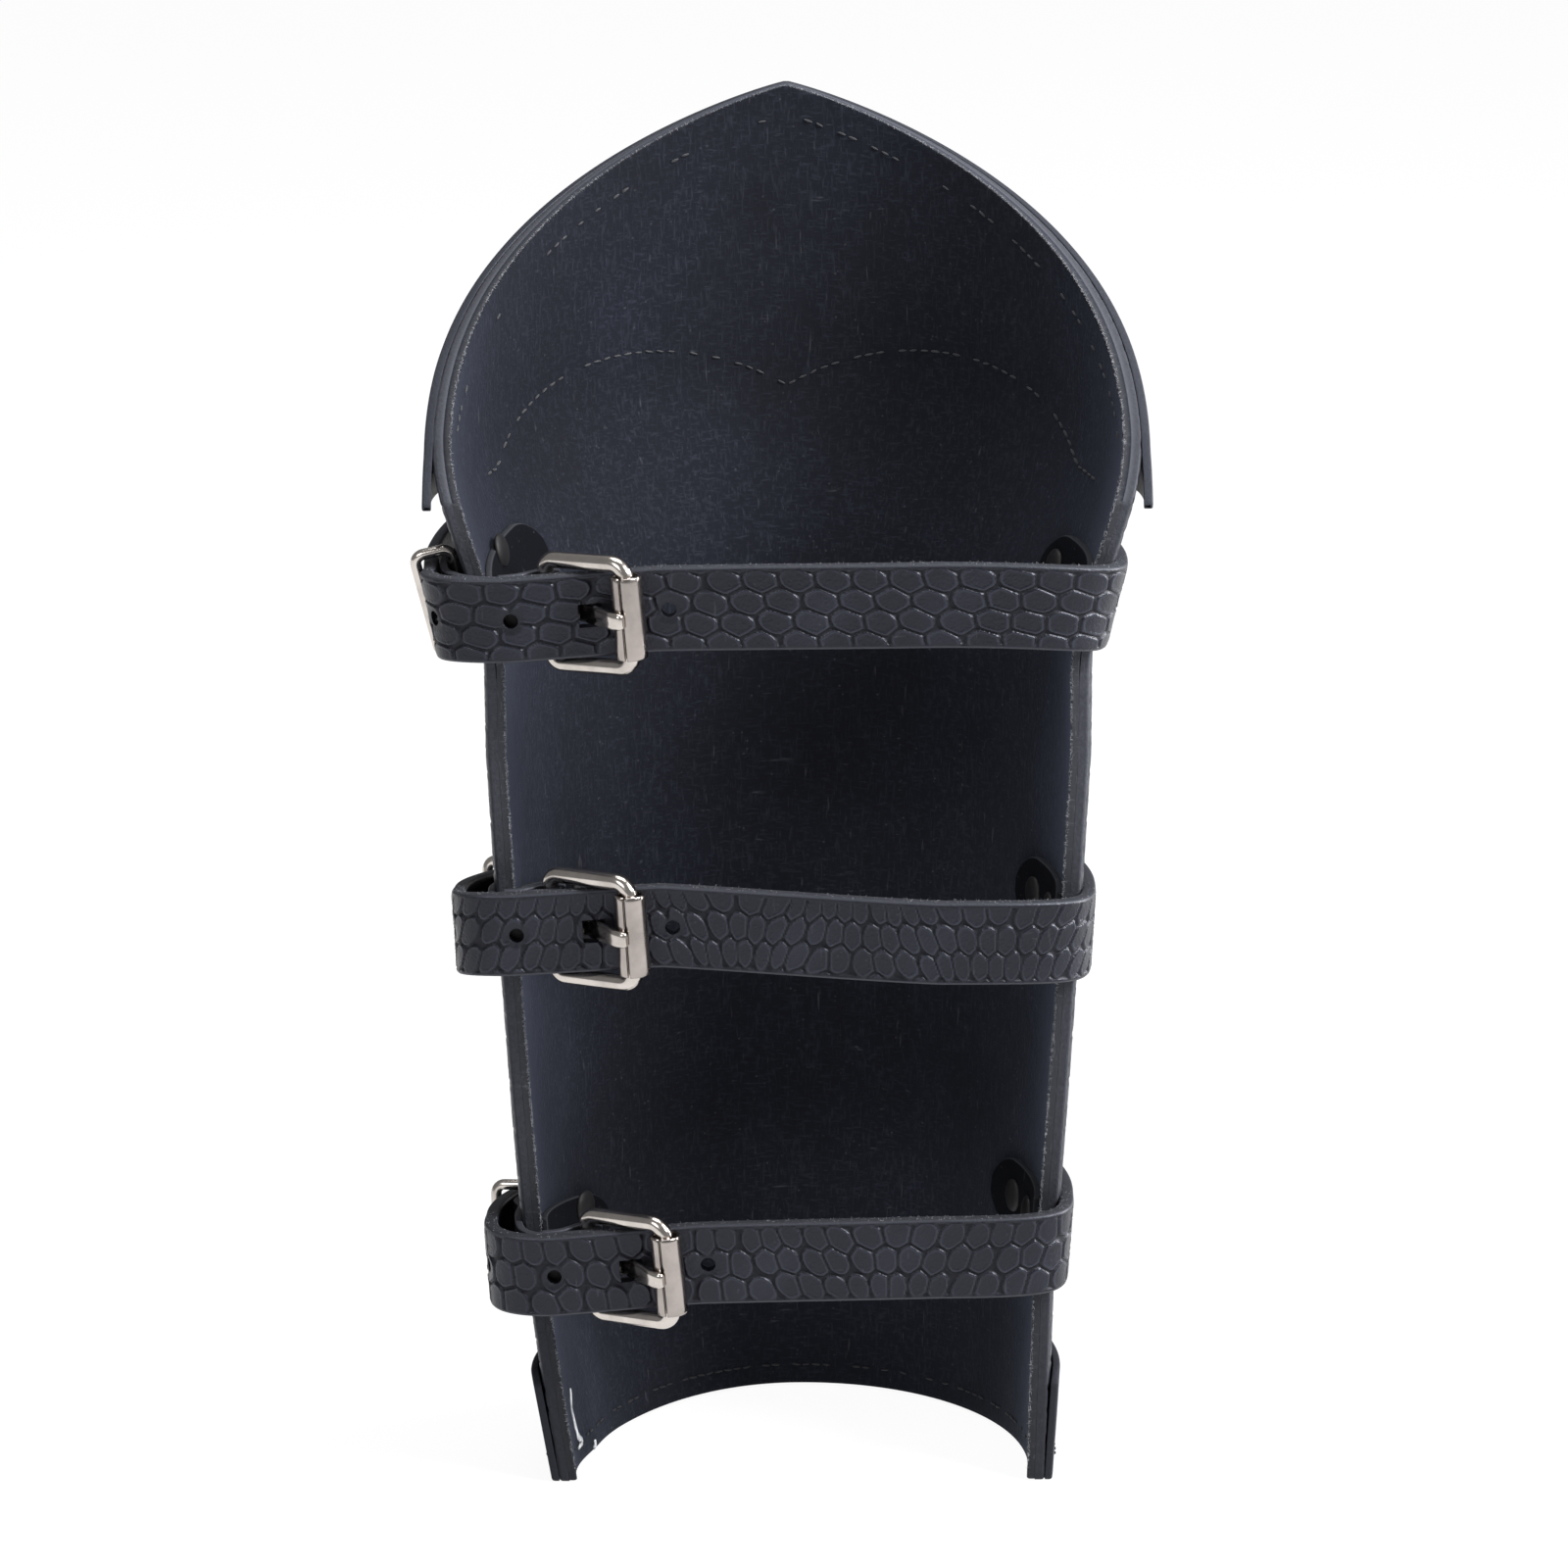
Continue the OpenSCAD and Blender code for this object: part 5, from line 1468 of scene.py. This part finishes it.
def make_strap(n, k):
    low, high, at = resample(strap_line(k, -1), strap_line(k, 1), STRAP_STEP)
    middle = (low + high) / 2
    front = np.flatnonzero((middle[:, 1] < -EDGE_Y) & (middle[:, 0] < 30))
    prong_x = k["x"] + PRONG_IN[0] + 1.2
    first = front[np.argmin(np.abs(middle[front, 0] - prong_x))]
    holes = [first + int(round(i * HOLE_PITCH / STRAP_STEP)) for i in (-1, 1, 2, 3, 4)]
    holes = [i for i in holes if i < len(at) - 20]
    pattern = PATTERNS[n]

    def relief(s, v):
        up = STRAP_RELIEF * pattern(s, v) - STRAP_RELIEF + 0.08 * soft_noise(s, v, 7, 40)
        for i in holes:
            far = np.hypot(s - at[i], v)
            rim = ease((far - HOLE_RIM_IN) / (HOLE_RIM_OUT - HOLE_RIM_IN))
            up = np.where(far < HOLE_RIM_OUT, mix(HOLE_PRESSED, up, rim), up)
        return up

    piece = strip(n + "_strap_leather", low, high, at, STRAP_T, 62, 10, 0.72, relief,
                  tip=(7.0, 7.5), crisp=0.1)
    cutters = []
    for i in holes:
        direction = np.cross(middle[i + 1] - middle[i - 1], high[i] - low[i])
        cutters.append(punch("punch", middle[i], direction, HOLE_R))
    cutters.append(prong_slot(k))
    cut_away(piece, cutters)
    dress(piece, SCALED_LEATHER, "scaled_leather", "bracer", n + "_strap")
    strap_fuzz(n, k, low, high)


def prong_slot(k):
    """The cutter of the slot that the prong comes through, laid along the prong."""
    half_w, half_t = PRONG_W / 2 + SOFT, PRONG_T / 2 + SOFT
    place = at_pivot(k) @ Matrix.Translation((PRONG_IN[0], -PRONG_IN[1], 0))
    turned = place @ Matrix.Rotation(-PRONG_ANGLE, 4, "Z")
    return block("slot", turned, (-4, -half_t - SLOT_LEFT, -half_w), (10, half_t, half_w))


def strap_fuzz(n, k, low, high):
    """Short fibres on the upper cut edge of a strap's front."""
    draw = np.random.default_rng(int(k["left"]))
    middle = (low + high) / 2
    pick = draw.choice(np.flatnonzero(middle[:, 1] < 0), STRAP_FIBRES)
    outward = np.cross(middle[pick - 1] - middle[pick], high[pick] - low[pick])
    outward /= np.linalg.norm(outward, axis=1)[:, None]
    places = high[pick] + outward * draw.uniform(-1.3, 1.2, (STRAP_FIBRES, 1))
    fuzz(n + "_strap_fuzz", places, np.array([0, 0, 0.7]), "scaled_leather", 0.6, 90)


def make_anchor(n, k):
    low, high, at = resample(anchor_line(k, -1), anchor_line(k, 1), 0.5)
    piece = strip(n + "_anchor_leather", low, high, at, ANCHOR_T, 26, 26, 0.45)
    half = PRONG_W / 2 + SOFT
    slot = block("slot", at_pivot(k), (-BAR_R - EYE_T - 4 * RUNNING, -12, -half), (20, 12, half))
    cut_away(piece, [slot])
    dress(piece, STRAP_LEATHER, "strap_leather", "bracer", n + "_anchor")


def rivet_places(k, fixed):
    """Places of the rivets of a strap's fixed end or of its anchor, with X outwards."""
    if fixed:
        return [on_shell(a, k["right"]) for a in STRAP_RIVET_A]
    a = k["ring"] - RIVET_BACK
    base = on_shell(a, float(side_z(k, a))) @ Matrix.Rotation(math.atan(k["fall"]), 4, "X")
    return [base @ Matrix.Translation((0, 0, side * RIVET_PITCH / 2)) for side in (-1, 1)]


def rivet_heads(name, heads, node_name, **sizes):
    """Heads at (place, x, side): x along the place's own X, facing that way or the other."""
    spots = [tuple(place @ Vector((x, 0, 0))) for place, x, _ in heads]
    outward = [tuple(place.to_3x3() @ Vector((side, 0, 0))) for place, _, side in heads]
    along = [tuple(place.to_3x3() @ Vector((0, 1, 0))) for place, _, _ in heads]
    piece = row_of(name, RIVET_ROW, spots, outward, along, DARK_RIVET, **sizes)
    dress(piece, DARK_RIVET, "dark_rivet", "bracer", node_name)


HEAD_SEAT, FOLD_RIVET_X, FOLD_RIVET_W, FOLD_RIVET_H = 0.22, -7.6, 5.2, 0.7


def make_rivets(n, k, kind, strap_t):
    fixed = kind == "strap"
    low = max(float(mid_r(k["right"]) - shell_r(k["right"])), 0) if fixed else 0
    faces = (strap_t + 3 * BOND, 1), (-(LINING_IN + BOND + TAB_T + HEAD_SEAT + low), -1)
    heads = [(place, x, side) for place in rivet_places(k, fixed) for x, side in faces]
    rivet_heads(f"{n}_{kind}_rivet_heads", heads, f"{n}_{kind}_rivets",
                Length=2 * RIVET_R * MM, Width=2 * RIVET_R * MM, Height=2 * RIVET_H * MM)


def make_fold_rivet(n, k):
    place = at_pivot(k) @ Matrix.Translation((FOLD_RIVET_X, 0, 0))
    turned = place @ Matrix.Rotation(math.radians(90), 4, "Z")
    heads = [(turned, -FOLD_R + 0.02, -1), (turned, -FOLD_R + 2 * ANCHOR_T - 0.02, 1)]
    rivet_heads(n + "_fold_rivet_heads", heads, n + "_fold_rivet",
                Length=FOLD_RIVET_W * MM, Width=FOLD_RIVET_W * MM, Height=FOLD_RIVET_H * MM)


def make_tabs(n, k):
    reach, half = STRAP_TAB_L - 2.5, 0.5 * TAB_W - 0.4
    piece = backing_tab(n + "_strap_tab_leather", 1, k["right"], reach, 0.0, half)
    dress(piece, TAB_LEATHER, "strap_leather", "bracer", n + "_strap_tab")
    a = k["ring"] - RIVET_BACK
    rivet_y = float(mid_r(k["left"])) * math.sin(math.radians(a))
    turn = math.atan((float(side_z(k, a)) - k["left"]) / rivet_y)
    reach = max(ANCHOR_TAB_L, rivet_y + 0.45 * TAB_W) - 3.5
    piece = backing_tab(n + "_anchor_tab_leather", -1, k["left"], reach, turn, 0.42 * TAB_W)
    dress(piece, TAB_LEATHER, "strap_leather", "bracer", n + "_anchor_tab")


# The metal pieces of a buckle: name ending, shape, material, slot, body and node
METAL_PIECES = (
    ("_frame_bar", buckle_frame, NICKEL, "nickel", "_buckle", "_buckle_frame"),
    ("_roller_tube", roller, DARKER_ROLLER_NICKEL, "roller_nickel", "_roller_body", "_roller"),
    ("_prong_bar", prong, NICKEL, "nickel", "_prong_body", "_prong"),
    ("_ring_wire", keeper_ring, NICKEL, "nickel", "_ring_body", "_keeper_ring"),
)

for strap_name, sizes in STRAPS.items():
    make_strap(strap_name, sizes)
    make_anchor(strap_name, sizes)
    make_rivets(strap_name, sizes, "strap", STRAP_T)
    make_rivets(strap_name, sizes, "anchor", ANCHOR_T)
    make_fold_rivet(strap_name, sizes)
    make_tabs(strap_name, sizes)
    for ending, shape, material, slot, body, node_name in METAL_PIECES:
        dress(shape(strap_name + ending, sizes), material, slot, strap_name + body, strap_name + node_name)


# Floor, light and background
FLOOR_WHITE, FLOOR_SHARE, SKY_LIGHT = 1.06, 0.88, 0.22


def make_floor():
    """A pale floor that shows as white and keeps the object's shadow."""
    work = bmesh.new()
    bmesh.ops.create_grid(work, x_segments=1, y_segments=1, size=6)
    mesh = bpy.data.meshes.new("floor")
    work.to_mesh(mesh)
    work.free()
    floor = link("floor", mesh)
    floor.location.z = -0.0002
    material = bpy.data.materials.new("pale_floor")
    material.use_nodes = True
    tree = material.node_tree
    tree.nodes.clear()
    out = tree.nodes.new("ShaderNodeOutputMaterial")
    pale = node(tree, "ShaderNodeBsdfDiffuse")
    pale.inputs["Color"].default_value = (0.86, 0.86, 0.87, 1)
    white = node(tree, "ShaderNodeEmission")
    white.inputs["Color"].default_value = (1, 1, 1, 1)
    white.inputs["Strength"].default_value = FLOOR_WHITE
    rays = tree.nodes.new("ShaderNodeLightPath")
    seen = maths(tree, "MAXIMUM", rays.outputs["Is Camera Ray"], rays.outputs["Is Glossy Ray"])
    seen = maths(tree, "MAXIMUM", seen, rays.outputs["Is Transmission Ray"])
    share = maths(tree, "MULTIPLY", seen, FLOOR_SHARE)
    both = tree.nodes.new("ShaderNodeMixShader")
    wire(tree, share, both.inputs[0])
    wire(tree, pale.outputs[0], both.inputs[1])
    wire(tree, white.outputs[0], both.inputs[2])
    wire(tree, both.outputs[0], out.inputs["Surface"])
    mesh.materials.append(material)


def make_world():
    """Even light, which the camera sees as plain white."""
    world = bpy.data.worlds.new("studio")
    bpy.context.scene.world = world
    world.use_nodes = True
    tree = world.node_tree
    background = tree.nodes["Background"]
    background.inputs["Color"].default_value = (1, 1, 1, 1)
    rays = tree.nodes.new("ShaderNodeLightPath")
    seen = maths(tree, "MAXIMUM", rays.outputs["Is Camera Ray"], rays.outputs["Is Transmission Ray"])
    strength = maths(tree, "ADD", maths(tree, "MULTIPLY", seen, 1 - SKY_LIGHT), SKY_LIGHT)
    wire(tree, strength, background.inputs["Strength"])


def make_lamp(name, place, target, size, watts):
    data = bpy.data.lights.new(name, "AREA")
    data.shape = "RECTANGLE"
    data.size, data.size_y = size
    data.energy = watts
    lamp = bpy.data.objects.new(name, data)
    bpy.context.collection.objects.link(lamp)
    lamp.location = place
    lamp.rotation_euler = (Vector(target) - Vector(place)).to_track_quat("-Z", "Y").to_euler()


make_floor()
make_world()
make_lamp("right_softbox", (1.05, -0.48, 1.15), (0, 0, 0.25), (0.5, 0.7), 42)
make_lamp("left_softbox", (-0.8, -1.1, 0.9), (0, 0, 0.17), (0.6, 0.6), 5)
make_lamp("top_softbox", (0, 0.1, 1.3), (0, 0, 0.1), (0.8, 0.6), 9)
make_lamp("rim_softbox", (1.1, 0.3, 0.4), (0, 0, 0.17), (0.4, 0.7), 15)
bpy.context.scene.view_settings.view_transform = "Standard"
